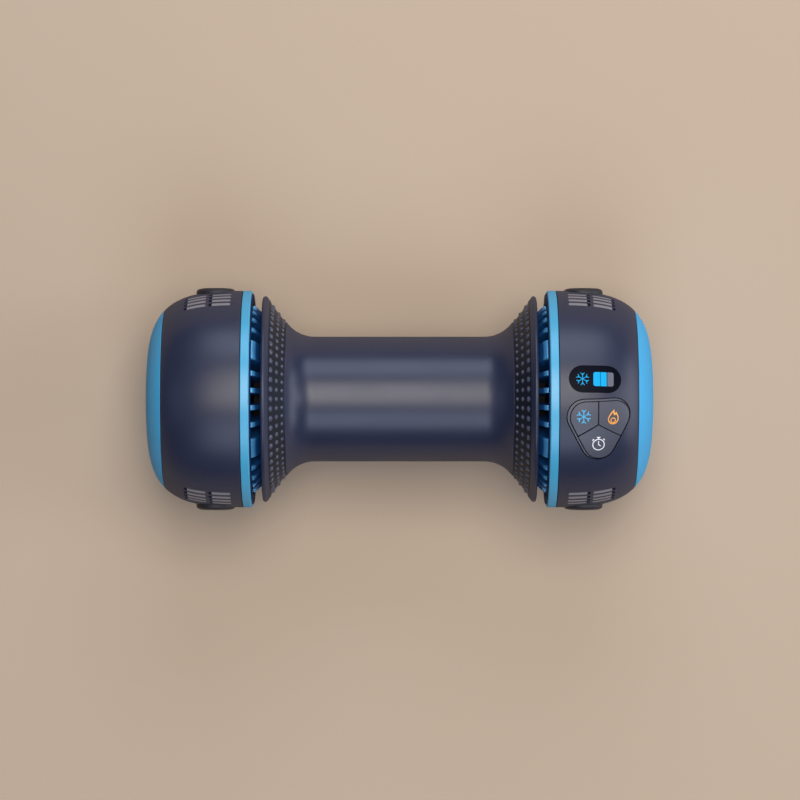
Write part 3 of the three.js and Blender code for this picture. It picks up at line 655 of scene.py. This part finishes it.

# %% [markdown]
# ## The heat sink
#
# Behind each flare stands a block of radial fins. Four thick pillars among them take the screws
# that clamp the cooler together. A fin is drawn from its side, with the nose cut back towards the
# grip, pulled to its thickness, and its sawn edges are broken with a small bevel. The fin is
# modelled once, and copies are turned to their places, leaving out the ones by the pillars. The
# core that holds them is turned, and it is coloured nearly black as painted shade so that the gaps
# look deep, so it is a piece of its own.

# %% Fins and pillars
FIN_RADIUS = 39.6
FIN_NOSE_RADIUS = 36.4
FIN_NOSE_LENGTH = 3.4
FIN_THICKNESS = 2.2
FIN_COUNT = 34
FIN_PITCH = math.tau / FIN_COUNT
PILLAR_THICKNESS = 9.2
PILLAR_PLACES = (3, -3, 14, -14)
PILLAR_CLEARANCE = 0.6
SINK_BASE_RADIUS = 29.0
SINK_HUB_RADIUS = 14.0
fin_side = [
    (SINK_FRONT + 0.05, SINK_BASE_RADIUS - 1), (SINK_FRONT + 0.05, FIN_NOSE_RADIUS),
    (SINK_FRONT + FIN_NOSE_LENGTH, FIN_RADIUS), (SINK_BACK, FIN_RADIUS),
    (SINK_BACK, SINK_HUB_RADIUS - 1), (SINK_FRONT + 1.5, SINK_HUB_RADIUS - 1)]


def fin(name, thickness, edge):
    piece = draw(name, [(along, -thickness / 2, AXIS + radius) for along, radius in fin_side])
    bpy.ops.mesh.edge_face_add()
    extrude((0, thickness, 0))
    return bevelled(finish_mesh(piece), edge)


def free_of_pillars(place):
    return all(abs(place - at % FIN_COUNT) > PILLAR_CLEARANCE for at in PILLAR_PLACES)


fin_places = [i + 0.5 for i in range(FIN_COUNT) if free_of_pillars(i + 0.5)]
first_fin = fin("first_fin", FIN_THICKNESS, 0.3)
fins = [turned(copy_of(first_fin, "fin"), place * FIN_PITCH) for place in fin_places]
first_pillar = fin("first_pillar", PILLAR_THICKNESS, 0.45)
pillars = [turned(copy_of(first_pillar, "pillar"), place * FIN_PITCH) for place in PILLAR_PLACES]
remove(first_fin, first_pillar)
print("fins:", len(fins), "pillars:", len(pillars))

# %% The sink's core
WIRE_HOLE = 4
SINK_BASE_BACK = SINK_FRONT + 3
sink_core = lathe("sink_core_right", [
    (SINK_FRONT, WIRE_HOLE), (SINK_FRONT, SINK_BASE_RADIUS - 0.4),
    (SINK_FRONT + 0.4, SINK_BASE_RADIUS), (SINK_BASE_BACK, SINK_BASE_RADIUS),
    (SINK_BASE_BACK, SINK_HUB_RADIUS), (SINK_BACK, SINK_HUB_RADIUS), (SINK_BACK, WIRE_HOLE)])
fin_ring = joined("fin_ring_right", fins + pillars)
# The fins' darker colour near the core is painted shade between the fins.
hand_over_both(fin_ring, blue_anodised_aluminium, "blue_anodised", "heat_sink", angle=40)
# The core's black is painted shade, so the gaps between the fins look deep.
hand_over_both(sink_core, shade_black_aluminium, "blue_anodised", "heat_sink", angle=40)
print("fin ring faces:", len(fin_ring.data.polygons))

# %% [markdown]
# ## Bezel and trim ring
#
# A deep blue cone closes the gap behind the fins and carries a sky-blue ring. Both are turned parts.
# The ring's rear edge is rounded, which draws a thin bright line beside the shell.

# %% Bezel and ring
BEZEL_BORE = 40.2
BEZEL_RADIUS = 42.8
LIP_RADIUS = 44.8
RING_BORE = HEAD_RADIUS - 2.9
FRONT_ROUND = 0.6
BACK_ROUND = 0.35
lip_back = RING_FRONT - 0.1
bezel = lathe("bezel_cone_right", [
    (BEZEL_FRONT + 0.15, BEZEL_BORE), (BEZEL_FRONT, BEZEL_BORE + 0.3),
    (lip_back - 0.55, LIP_RADIUS - 0.35), (lip_back - 0.3, LIP_RADIUS), (lip_back, LIP_RADIUS),
    (lip_back, BEZEL_RADIUS), (BEZEL_BACK, BEZEL_RADIUS), (BEZEL_BACK, BEZEL_BORE)])
ring_profile = [(RING_FRONT, RING_BORE)]
ring_profile += arc((RING_FRONT + FRONT_ROUND, HEAD_RADIUS - FRONT_ROUND), FRONT_ROUND, 180, 90, 5)
ring_profile += arc((RING_BACK - BACK_ROUND, HEAD_RADIUS - BACK_ROUND), BACK_ROUND, 90, 0, 5)
ring_profile += [(RING_BACK, RING_BORE)]
ring = lathe("blue_ring_right", ring_profile)
# The cone's dark blue is partly painted shade in the gap behind the fins.
hand_over_both(bezel, shade_dark_blue_abs, "navy_plastic", "bezel")
hand_over_both(ring, pale_blue_lacquer, "blue_trim", "trim_ring")
print("ring runs from", round(RING_FRONT, 2), "to", round(RING_BACK, 2))

# %% [markdown]
# ## The head's outline
#
# The head is a rounded drum. Its radius falls off slowly at first and then fast, which a pair of
# powers describes in one line. Points on the outline lie closer together where it curves more.
# A layer of the wall, between two depths under the outer face, is spun from two such lines. It
# serves as a tool: what a block shares with the layer follows the head's curve on both faces.

# %% Outline and layers
ALONG_POWER = 3.5
RADIUS_POWER = 3.9


def head_radius(along):
    share = min(max((along - HEAD_START) / HEAD_LENGTH, 0), 1)
    return HEAD_RADIUS * (1 - share**ALONG_POWER) ** (1 / RADIUS_POWER)


def head_outline(start, end, steps, inset=0):
    """Points on the outline between two places, moved in by an inset."""
    half = ALONG_POWER / 2
    first, last = (
        math.asin(min((at - HEAD_START) / HEAD_LENGTH, 1) ** half) for at in (start, end))
    points = []
    for i in range(steps + 1):
        turn = first + (last - first) * i / steps
        along = HEAD_START + HEAD_LENGTH * math.sin(turn) ** (1 / half)
        points.append((along, head_radius(along) - inset))
    return points


def layer_section(start, end, steps, outer_depth, inner_depth):
    outer_line = head_outline(start, end, steps, outer_depth)
    inner_line = head_outline(start, end, steps, inner_depth)
    return outer_line + inner_line[::-1]


def layer(outer_depth, inner_depth):
    """A curved layer of the head's wall between two depths."""
    return lathe("wall_layer", layer_section(SHELL_FRONT, SHELL_BACK, 24, outer_depth, inner_depth))


def in_layer(piece, outer_depth, inner_depth):
    """Keeps what a piece shares with a layer of the wall."""
    return cut(piece, layer(outer_depth, inner_depth), operation="INTERSECT")


def patch(outer_depth, inner_depth, at, tilt, reach=16):
    """A part of such a layer, just large enough for a small piece of the panel."""
    start, end = max(at - reach, SHELL_FRONT), min(at + reach, SHELL_BACK)
    section = layer_section(start, end, 12, outer_depth, inner_depth)
    piece = draw("wall_patch", [(along, 0, AXIS + radius) for along, radius in section])
    sweep = 2 * reach / HEAD_RADIUS
    bpy.ops.mesh.spin(steps=22, angle=sweep, center=(0, 0, AXIS * MM), axis=(-1, 0, 0))
    merge_doubles()
    bpy.ops.mesh.fill_holes(sides=0)
    return turned(finish_mesh(piece), tilt - sweep / 2)


stored_patches = {}


def laid_in(piece, *sizes):
    """Keeps what a piece shares with a patch. Each patch is made once and then copied."""
    if sizes not in stored_patches:
        stored_patches[sizes] = patch(*sizes)
    return cut(piece, copy_of(stored_patches[sizes], "wall_patch"), operation="INTERSECT")


# %% [markdown]
# ## Slots, pockets and openings
#
# The head shells are moulded with openings: four groups of eight air slots each, a round pocket
# for each side pad, a pocket for the foot, and on the right the openings for the keys and the
# display. Each is a block that stands square on the axis and is taken from the shell by a
# Boolean. Pockets are cut only to the depth that the pad sits in.

# %% Slot and pad places
SLOT_LENGTH = 9.2
SLOT_HEIGHT = 2.3
SLOT_COLUMNS = (SHELL_FRONT + 9.2, SHELL_FRONT + 19.65)
SLOT_FIRST = 13.0
SLOT_PITCH = 3.6
SLOT_ROWS = 4
SLOT_TILTS = [(SLOT_FIRST + SLOT_PITCH * row) / HEAD_RADIUS for row in range(SLOT_ROWS)]
PAD_RADIUS = 8.3
PAD_ALONG = SHELL_FRONT + 11.6
PAD_POCKET = 0.8
POCKET_GAP = 0.2
POCKET_REACH = 3
FOOT_LENGTH = 17
FOOT_WIDTH = 22
FOOT_CORNER = 4
CUT_LOW = HEAD_RADIUS - 7
CUT_HIGH = HEAD_RADIUS + 2


def at_slots(name, outline, shift=0.0):
    """A block at every slot of a head, copied from one block for each column."""
    sources = [block(name, outline, CUT_LOW, CUT_HIGH, at + shift) for at in SLOT_COLUMNS]
    tilts = [
        side * math.pi / 2 + half * tilt for side in (-1, 1) for half in (-1, 1) for tilt in SLOT_TILTS]
    copies = [turned(copy_of(source, name), tilt) for tilt in tilts for source in sources]
    remove(*sources)
    return copies


def pocket_cutters():
    pad_outline = circle(PAD_RADIUS + POCKET_GAP)
    pads = [block("pocket", pad_outline, CUT_LOW, CUT_HIGH, PAD_ALONG, side * math.pi / 2)
            for side in (-1, 1)]
    foot_outline = rounded_rectangle(
        FOOT_LENGTH + 2 * POCKET_GAP, FOOT_WIDTH + 2 * POCKET_GAP, FOOT_CORNER + POCKET_GAP)
    foot = block("pocket", foot_outline, CUT_LOW, CUT_HIGH, PAD_ALONG, math.pi)
    return in_layer(joined("pockets", [*pads, foot]), -POCKET_REACH, PAD_POCKET)


# %% The shells
EDGE = 0.15
outer_face = head_outline(SHELL_FRONT + EDGE, SHELL_BACK - EDGE, 26)
inner_face = head_outline(SHELL_FRONT, SHELL_BACK, 26, HEAD_WALL)
back_edge = (SHELL_BACK, head_radius(SHELL_BACK) - EDGE)
front_edge = (SHELL_FRONT, HEAD_RADIUS - EDGE)
shell_right = lathe("shell_right", outer_face + [back_edge] + inner_face[::-1] + [front_edge])
slot_outline = rounded_rectangle(SLOT_LENGTH, SLOT_HEIGHT, 0.5, 3)
cut(shell_right, *at_slots("slot", slot_outline), pocket_cutters())
shell_left = other_end(shell_right, "shell_left")
print("shell faces before the panel:", len(shell_right.data.polygons))

# %% [markdown]
# ## The key panel's outlines
#
# The three keys share one rounded triangle below the pill-shaped display. A frame shows beside
# them, wider on the inboard side. All these outlines lie in the panel's own plane, with x along
# the axis and y towards the display, and each is turned to its tilt round the head.

# %% Panel places and outlines
KEYS_LEAD = 0.45
KEYS_ARC = 13.45
DISPLAY_LEAD = 1.5
DISPLAY_ARC = 8.5
KEYS_AT = (SHELL_FRONT + SHELL_BACK) / 2 - KEYS_LEAD
KEYS_TILT = KEYS_ARC / HEAD_RADIUS
DISPLAY_AT = KEYS_AT - DISPLAY_LEAD
DISPLAY_TILT = -DISPLAY_ARC / HEAD_RADIUS
DISPLAY_LENGTH = 21.8
DISPLAY_WIDTH = 11.5
KEYS_CORNER = 7.4
KEYS_HALF_WIDTH = 13.4
KEYS_HALF_HEIGHT = 13.3


def keypad_outline(inset, right=0, down=0):
    """The rounded triangle drawn in by an inset and shifted by a little."""
    x, y = KEYS_HALF_WIDTH - KEYS_CORNER, KEYS_HALF_HEIGHT - KEYS_CORNER
    centres = [(right, -y - down), (x + right, y - down), (-x + right, y - down)]
    return outline_round(centres, KEYS_CORNER - inset, 10)


# %% Cut the panel and the port
PORT_AT = SHELL_BACK - 15.1
PORT_TILT = math.radians(145)
PORT_LENGTH = 9.5
PORT_WIDTH = 3.8


def opening(outline, at, tilt):
    return block("opening", outline, CUT_LOW - 3, CUT_HIGH, at, tilt)


cut(shell_right,
    opening(keypad_outline(0), KEYS_AT, KEYS_TILT),
    opening(pill(DISPLAY_LENGTH, DISPLAY_WIDTH), DISPLAY_AT, DISPLAY_TILT))
port_cutter = opening(pill(PORT_LENGTH, PORT_WIDTH, 6), PORT_AT, PORT_TILT)
cut(shell_left, half_turn(port_cutter))
for shell, node in ((shell_right, "head_shell_right"), (shell_left, "head_shell_left")):
    smoothed(shell)
    hand_over(shell, moulded_navy_abs, "navy_plastic", node)
print("shell faces:", len(shell_right.data.polygons), len(shell_left.data.polygons))

# %% [markdown]
# ## End caps
#
# A sky-blue cap closes each head. It carries on the drum's outline down to a nearly flat end, so
# the same curve draws it, and it is spun with its wall in one section that ends on the axis.

# %% End caps
CAP_FRONT = SHELL_BACK + SEAM
CAP_FLAT_RADIUS = 24
SPIGOT_LENGTH = 3
SPIGOT_GAP = 0.4
spigot = head_radius(SHELL_BACK) - HEAD_WALL - SPIGOT_GAP
spigot_bore = spigot - HEAD_WALL
cap_outer = head_outline(CAP_FRONT + 0.12, HEAD_END, 30)[:-1]
cap_outer += [(HEAD_END, cap_outer[-1][1] * 0.5), (HEAD_END, 0)]
cap_inner = [
    (HEAD_END - HEAD_WALL, 0), (HEAD_END - HEAD_WALL, CAP_FLAT_RADIUS),
    (CAP_FRONT + HEAD_WALL, spigot_bore - 0.2), (SHELL_BACK - SPIGOT_LENGTH, spigot_bore),
    (SHELL_BACK - SPIGOT_LENGTH, spigot), (CAP_FRONT, spigot)]
cap_edge = [(CAP_FRONT, head_radius(CAP_FRONT) - EDGE)]
cap = lathe("blue_cap_right", cap_inner + cap_edge + cap_outer)
hand_over_both(cap, sky_blue_lacquer, "blue_trim", "end_cap")
print("cap faces:", len(cap.data.polygons))

# %% [markdown]
# ## Rubber pads and feet
#
# A round pad stands out of each side of the heads, and a flat foot keeps the device from rolling.
# They're moulded rubber with soft edges, pressed into the shell's pockets. The pad is spun about
# its own line through the head, and what lies deeper than its pocket is cut away by the layer
# that it shares with the wall. The foot is higher than a pad, so its layer reaches further out.

# %% Pads and feet
PAD_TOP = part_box("side_pad_back_right")[1].y / MM - 0.02
PAD_DOME = [(1.0, 1.6), (0.985, 1.2), (0.94, 0.75), (0.86, 0.38), (0.74, 0.14), (0.56, 0.03), (0, 0)]
FOOT_REACH = 5
PAD_REACH = 2.4
pad_line = [(0, CUT_LOW), (PAD_RADIUS, CUT_LOW)]
pad_line += [(PAD_RADIUS * share, PAD_TOP - down) for share, down in PAD_DOME]
pad_points = [(PAD_ALONG + across, 0, AXIS + up) for across, up in pad_line]
pad_blank = spun("pad", pad_points, (PAD_ALONG, 0, AXIS), (0, 0, 1), 64, closed=False)
foot_outline = rounded_rectangle(FOOT_LENGTH, FOOT_WIDTH, FOOT_CORNER)
foot_blank = block("foot", foot_outline, CUT_LOW - 1, AXIS, PAD_ALONG, math.pi)
bevelled(foot_blank, 0.5, 3, 60)
back_blank = turned(copy_of(pad_blank, "pad"), -math.pi / 2)
front_blank = turned(pad_blank, math.pi / 2)
for blank, reach, name, opposite in (
        (front_blank, PAD_REACH, "side_pad_front", "side_pad_back"),
        (back_blank, PAD_REACH, "side_pad_back", "side_pad_front"),
        (foot_blank, FOOT_REACH, "foot", "foot")):
    piece = smoothed(in_layer(blank, -reach, PAD_POCKET - 0.02))
    piece.name = f"rubber_{name}_right"
    across = other_end(piece, f"rubber_{opposite}_left")
    hand_over(across, moulded_black_rubber, "soft_rubber", opposite + "_left")
    hand_over(piece, moulded_black_rubber, "soft_rubber", name + "_right")
print("pad top at", round(PAD_TOP, 2))

# %% [markdown]
# ## Slats in the air slots
#
# Grey slats fill most of each slot, so that fingers and dust stay out. Their pale grey is a painted
# highlight for the slots' lit lower walls. They leave a short open hole at the slot's far end. Each
# one is a small block that follows the head's curve a little under its face.

# %% Slats
SLAT_LENGTH = 7.8
SLAT_GAP = 0.02
slat_outline = rounded_rectangle(SLAT_LENGTH, SLOT_HEIGHT - 2 * SLAT_GAP, 0.4, 3)
slat_shift = (SLAT_LENGTH - SLOT_LENGTH) / 2 + SLAT_GAP
slats = joined("slats_right", at_slots("slat", slat_outline, slat_shift))
# The slats' pale grey is a painted highlight of the slots' lit lower walls.
hand_over_both(in_layer(slats, 0.1, HEAD_WALL), highlight_grey_nylon, "key_plastic")
print("slat faces:", len(slats.data.polygons))

# %% [markdown]
# ## The display
#
# A pill of dark glass lies almost flush in the shell. On it shine a snowflake and a battery bar:
# two lit segments with a line between them, and one unlit. The signs are thin blocks that follow
# the glass and stand a hair over it.

# %% Glass
SIGN_PROUD = 0.03


def on_display(outline, outer_depth, inner_depth):
    """A block of an outline, laid into the display's place between two depths."""
    whole = block("display_block", outline, CUT_LOW, CUT_HIGH, DISPLAY_AT, DISPLAY_TILT)
    return laid_in(whole, outer_depth, inner_depth, DISPLAY_AT, DISPLAY_TILT)


GLASS_DEPTH = 0.15
GLASS_GAP = 0.15
glass_outline = pill(DISPLAY_LENGTH - 2 * GLASS_GAP, DISPLAY_WIDTH - 2 * GLASS_GAP)
glass = on_display(glass_outline, GLASS_DEPTH, 2.0)
glass.name = "display_glass"
smoothed(bevelled(glass, 0.2, 2, 60))
hand_over(glass, dark_glass, "dark_lens", "display_window")

# %% Signs on the display
def snowflake(x, y, reach, line):
    """Six arms that each end in an open V, as one outline round a centre."""
    half = line / 2
    lean = math.radians(38)
    root, branch = reach * 0.56, reach * 0.45
    tip = (root + branch * math.cos(lean), -half - branch * math.sin(lean))
    arm = [(half * 1.73, -half), (root, -half), tip]
    arm += [(tip[0] + line * math.sin(lean), tip[1] + line * math.cos(lean))]
    arm += [(root + line / math.sin(lean), -half), (reach * 0.84, -half)]
    arm += [(along, -across) for along, across in reversed(arm)]
    return [point for i in range(6) for point in moved(arm, x, y, 30 + 60 * i)]


def bar_segment(start, end):
    """The part of the rounded battery bar between two places along it."""
    clipped = [(min(max(x, start), end) + BAR_AT, y) for x, y in bar_outline]
    return [point for i, point in enumerate(clipped) if point != clipped[i - 1]]


BAR_AT = 3.5
bar_outline = rounded_rectangle(8.45, 5.9, 0.9)
for name, outline, light in (
        ("lit_snowflake", snowflake(-5.2, 0, 2.75, 0.26), cyan_light),
        ("bar_first", bar_segment(-4.3, -1.45), cyan_light),
        ("bar_divider", bar_segment(-1.45, -1.1), blue_light),
        ("bar_second", bar_segment(-1.1, 1.3), cyan_light),
        ("bar_third", bar_segment(1.6, 4.3), unlit_segment)):
    display_sign = on_display(outline, GLASS_DEPTH - SIGN_PROUD, GLASS_DEPTH + 0.1)
    display_sign.name = name
    hand_over(display_sign, light, "dark_lens")
print("display signs stand over the glass by", SIGN_PROUD, "mm")

# %% [markdown]
# ## The keys
#
# Three keys fill a rounded triangle, split like a Y. A narrow rim of the same plastic shows beside
# them, wide on the left and top and narrow on the right. Each key is what the outline's block
# shares with a third of it, laid into the head's curve, with soft edges. The keys ride on their
# own bodies, and the rim stays with the housing.

# %% Rim and key caps
KEY_RECESS = 0.25
KEY_THICKNESS = 1.7
KEY_SPLIT_RISE = 2.3
KEY_GAP = 0.45
SECTOR_REACH = 40
RIM_INSET = 0.45
RIM_BORE_INSET = 0.75
CAP_INSET = 1.15
KEYS_RIGHT = 0.6
KEYS_DOWN = 0.4


def keys_block(outline):
    return block("keys_block", outline, CUT_LOW, CUT_HIGH, KEYS_AT, KEYS_TILT)


def on_keys(piece, outer_depth, inner_depth):
    return laid_in(piece, outer_depth, inner_depth, KEYS_AT, KEYS_TILT)


rim = on_keys(keys_block(keypad_outline(RIM_INSET)), KEY_RECESS - 0.1, 2.1)
cut(rim, keys_block(keypad_outline(RIM_BORE_INSET, KEYS_RIGHT, KEYS_DOWN)))
rim.name = "keypad_rim"
smoothed(bevelled(rim, 0.15, 2, 60))
hand_over(rim, moulded_grey_abs, "key_plastic")


def key_sector(bisector):
    """A third of the keypad between two of its dividing lines."""
    turn = math.radians(bisector)
    shift = KEY_GAP / 2 / math.sin(math.radians(60))
    tip = (shift * math.cos(turn), KEY_SPLIT_RISE + shift * math.sin(turn))
    sides = [turn - math.radians(60), turn + math.radians(60)]
    ends = [(tip[0] + SECTOR_REACH * math.cos(side), tip[1] + SECTOR_REACH * math.sin(side))
            for side in sides]
    return [tip, *ends]


def key_cap(name, bisector, node, body):
    whole = keys_block(keypad_outline(CAP_INSET, KEYS_RIGHT, KEYS_DOWN))
    cap = cut(whole, keys_block(key_sector(bisector)), operation="INTERSECT")
    cap = on_keys(cap, KEY_RECESS, KEY_RECESS + KEY_THICKNESS)
    cap.name = name
    smoothed(bevelled(cap, 0.3, 3, 60))
    return hand_over(cap, moulded_grey_abs, "key_plastic", node, body=body)


key_cap("cap_cool", 150, "button_cool", "cool_key")
key_cap("cap_heat", 30, "button_heat", "heat_key")
key_cap("cap_timer", -90, "button_timer", "timer_key")

# %% [markdown]
# ## Signs on the keys
#
# The signs are printed in ink: a blue snowflake for cooling, an orange flame for warming and a
# white stopwatch for the timer. They're simple signs of our own. Each is drawn as outlines, and
# thin blocks of them are laid on the key and ride with it.

# %% Parts of a sign
def sign_part(outlines, *holes):
    """Thin blocks that touch are united, laid on the keys, and then opened by the holes."""
    whole = keys_block(outlines[0])
    for outline in outlines[1:]:
        cut(whole, keys_block(outline), operation="UNION")
    on_keys(whole, KEY_RECESS - SIGN_PROUD, KEY_RECESS + 0.1)
    if holes:
        cut(whole, *[keys_block(hole) for hole in holes])
    return whole


def bar(x, y, length, width, turn=0.0):
    """A bar from a place outwards, turned anticlockwise from +x in degrees."""
    corners = [(0, -width / 2), (length, -width / 2), (length, width / 2), (0, width / 2)]
    return moved(corners, x, y, turn)


def key_sign(name, parts, ink, body):
    return hand_over(joined(name, parts), ink, "key_plastic", body=body)


# %% Snowflake and flame
HEAT_AT = (6.1, 5.3)
FLAME_WIDTH, FLAME_HEIGHT = 4.55, 6.3
FLAME_OUTSIDE = [
    (0.0, -0.5), (0.27, -0.45), (0.44, -0.3), (0.5, -0.1), (0.44, 0.11), (0.26, 0.35), (0.18, 0.23),
    (0.12, 0.3), (0.08, 0.5), (-0.19, 0.31), (-0.4, 0.09), (-0.5, -0.11), (-0.45, -0.3), (-0.27, -0.45)]
FLAME_INSIDE = [
    (0.0, -0.43), (0.22, -0.38), (0.36, -0.26), (0.41, -0.1), (0.36, 0.06), (0.25, 0.18), (0.14, 0.1),
    (0.03, 0.16), (0.0, 0.34), (-0.16, 0.2), (-0.32, 0.04), (-0.41, -0.11), (-0.36, -0.26), (-0.22, -0.38)]


def flame(line):
    """One side of the flame's line: a round belly, a bent tip and a short second tongue."""
    return [(HEAT_AT[0] + u * FLAME_WIDTH, HEAT_AT[1] + v * FLAME_HEIGHT) for u, v in line]


key_sign("ink_snowflake", [sign_part([snowflake(-6.2, 5.9, 3.0, 0.34)])], blue_ink, "cool_key")
belly = (HEAT_AT[0], HEAT_AT[1] - 1.4)
flame_line = sign_part([flame(FLAME_OUTSIDE)], flame(FLAME_INSIDE))
belly_line = sign_part([moved(circle(1.15, 24), *belly)], moved(circle(0.76, 24), *belly))
key_sign("ink_flame", [flame_line, belly_line], orange_ink, "heat_key")

# %% Stopwatch
time_x, time_y = 0.1, -6.4
dial = sign_part(
    [moved(circle(2.6), time_x, time_y), bar(time_x, time_y + 2.4, 0.9, 0.45, 90),
     bar(time_x - 0.75, time_y + 3.25, 1.5, 0.4)],
    moved(circle(2.2), time_x, time_y))
hands = sign_part([
    bar(time_x, time_y - 0.1, 1.7, 0.36, 90), bar(time_x - 0.1, time_y + 0.1, 1.3, 0.36, -35)])
watch = [dial, hands]
for turn in (45, 135):
    t = math.radians(turn)
    at_x, at_y = time_x + 2.95 * math.cos(t), time_y + 2.95 * math.sin(t)
    watch.append(sign_part([bar(at_x, at_y, 0.45, 0.9, turn)]))
key_sign("ink_stopwatch", watch, white_ink, "timer_key")
remove(*stored_patches.values())
print("key signs stand over the keys by", SIGN_PROUD, "mm")

# %% [markdown]
# ## Charge port
#
# The port is a pressed steel sleeve with a black tongue inside. It lies at the back of the left
# head, just under the shell's face.

# %% Charge port
port_mouth = head_radius(PORT_AT) - 0.8


def port_block(outline, low, high):
    return block("port_block", outline, port_mouth - low, port_mouth - high, PORT_AT, PORT_TILT)


sleeve = cut(port_block(pill(9, 3.3, 8), 7.3, 0), port_block(pill(8.2, 2.5, 8), 6.1, -1))
tongue = port_block(rounded_rectangle(6.2, 0.7, 0.2, 2), 6.6, 1)
for piece, name, material, slot, nodes in (
        (sleeve, "port_sleeve", brushed_steel, "pressed_steel", ["charge_port"]),
        (tongue, "port_tongue", moulded_black_nylon, "black_plastic", [])):
    piece.name = name
    smoothed(bevelled(half_turn(piece), 0.08, 2, 60))
    hand_over(piece, material, slot, *nodes)
print("port mouth at", round(port_mouth, 2))

# %% [markdown]
# ## Table, light and camera
#
# The device lies on a plain pale table, wide enough that no edge shows from the side. A soft box
# hangs over it, a little towards the back, and draws the bright line along the grip. Cooler ones
# in front and behind draw the two bluish bands beside that line. Two on the right light the right
# cap, and a weak one lifts the left cap a little. The camera looks straight down from about 1.7 m
# with a long lens, as the picture was taken.

# %% Table
TABLE_SIZE = 24
# Matt painted board. Its two tones are close, so the table stays plain.
table_paint = grained("matt_beige_table", ("#ab9883", "#ad9a85"), 0.7, 3, 0.002, patch=160)
bpy.ops.object.select_all(action="DESELECT")
bpy.ops.mesh.primitive_plane_add(size=TABLE_SIZE)
table = bpy.context.object
table.name = "table_top"
table.data.materials.append(table_paint)
table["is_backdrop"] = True


# %% Lights
def soft_box(name, place, size, radiance, colour):
    """A rectangular soft light of a given brightness that looks at the device."""
    towards = Vector((0, 0, AXIS * MM)) - Vector(place)
    bpy.ops.object.light_add(
        type="AREA", location=place, rotation=towards.to_track_quat("-Z", "Y").to_euler())
    lamp = bpy.context.object
    lamp.name = name
    lamp.data.shape = "RECTANGLE"
    lamp.data.size, lamp.data.size_y = size
    lamp.data.energy = radiance * math.pi * size[0] * size[1]
    lamp.data.color = linear(colour)[:3]
    return lamp


def overhead(tilt, distance=2.0, along=0.1):
    """A place over the device, turned from straight up towards the back by degrees."""
    return (along, distance * math.sin(math.radians(tilt)), distance * math.cos(math.radians(tilt)))


soft_box("key_light", overhead(10), (0.95, 1.35), 7.7, "#fff7ef")
soft_box("front_light", overhead(-38), (1.0, 1.0), 4.7, "#dde8ff")
soft_box("back_light", overhead(58, 1.3), (0.9, 0.7), 4.2, "#e2ebff")
soft_box("right_light", (2.0, 0.0, 0.6), (2.4, 0.9), 3.4, "#f0f4ff")
soft_box("right_upper_light", (1.55, 0.1, 1.3), (0.6, 1.0), 3.5, "#f4f3f5")
soft_box("left_light", (-1.5, 0.0, 1.3), (1.0, 1.2), 0.5, "#d4e4ff")
studio = bpy.data.worlds.new("studio")
studio.use_nodes = True
backdrop = studio.node_tree.nodes["Background"]
backdrop.inputs["Color"].default_value = linear("#d8dbe2")
backdrop.inputs["Strength"].default_value = 0.03
bpy.context.scene.world = studio
bpy.context.scene.view_settings.view_transform = "Standard"

# %% Camera
CAMERA_HEIGHT = 1.72
CAMERA_LENS = 182.1
CAMERA_PLACE = (0.0002, -0.0004, AXIS * MM + CAMERA_HEIGHT)
bpy.ops.object.camera_add(location=CAMERA_PLACE, rotation=(0, 0, 0))
camera = bpy.context.object
camera.name = "overhead_camera"
camera.data.lens = CAMERA_LENS
camera.data.sensor_width = 36
bpy.context.scene.camera = camera

# %% [markdown]
# ## Last look at the sizes
#
# Both boxes are printed: the imported model's and the dressed device's. The dressed device has
# to stay within the imported model's box.

# %% Print the boxes
visual_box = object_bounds()
boxes = {"cad": cad_box, "visual": visual_box}
for name, box in boxes.items():
    print(name, [[round(value / MM, 2) for value in corner] for corner in box])
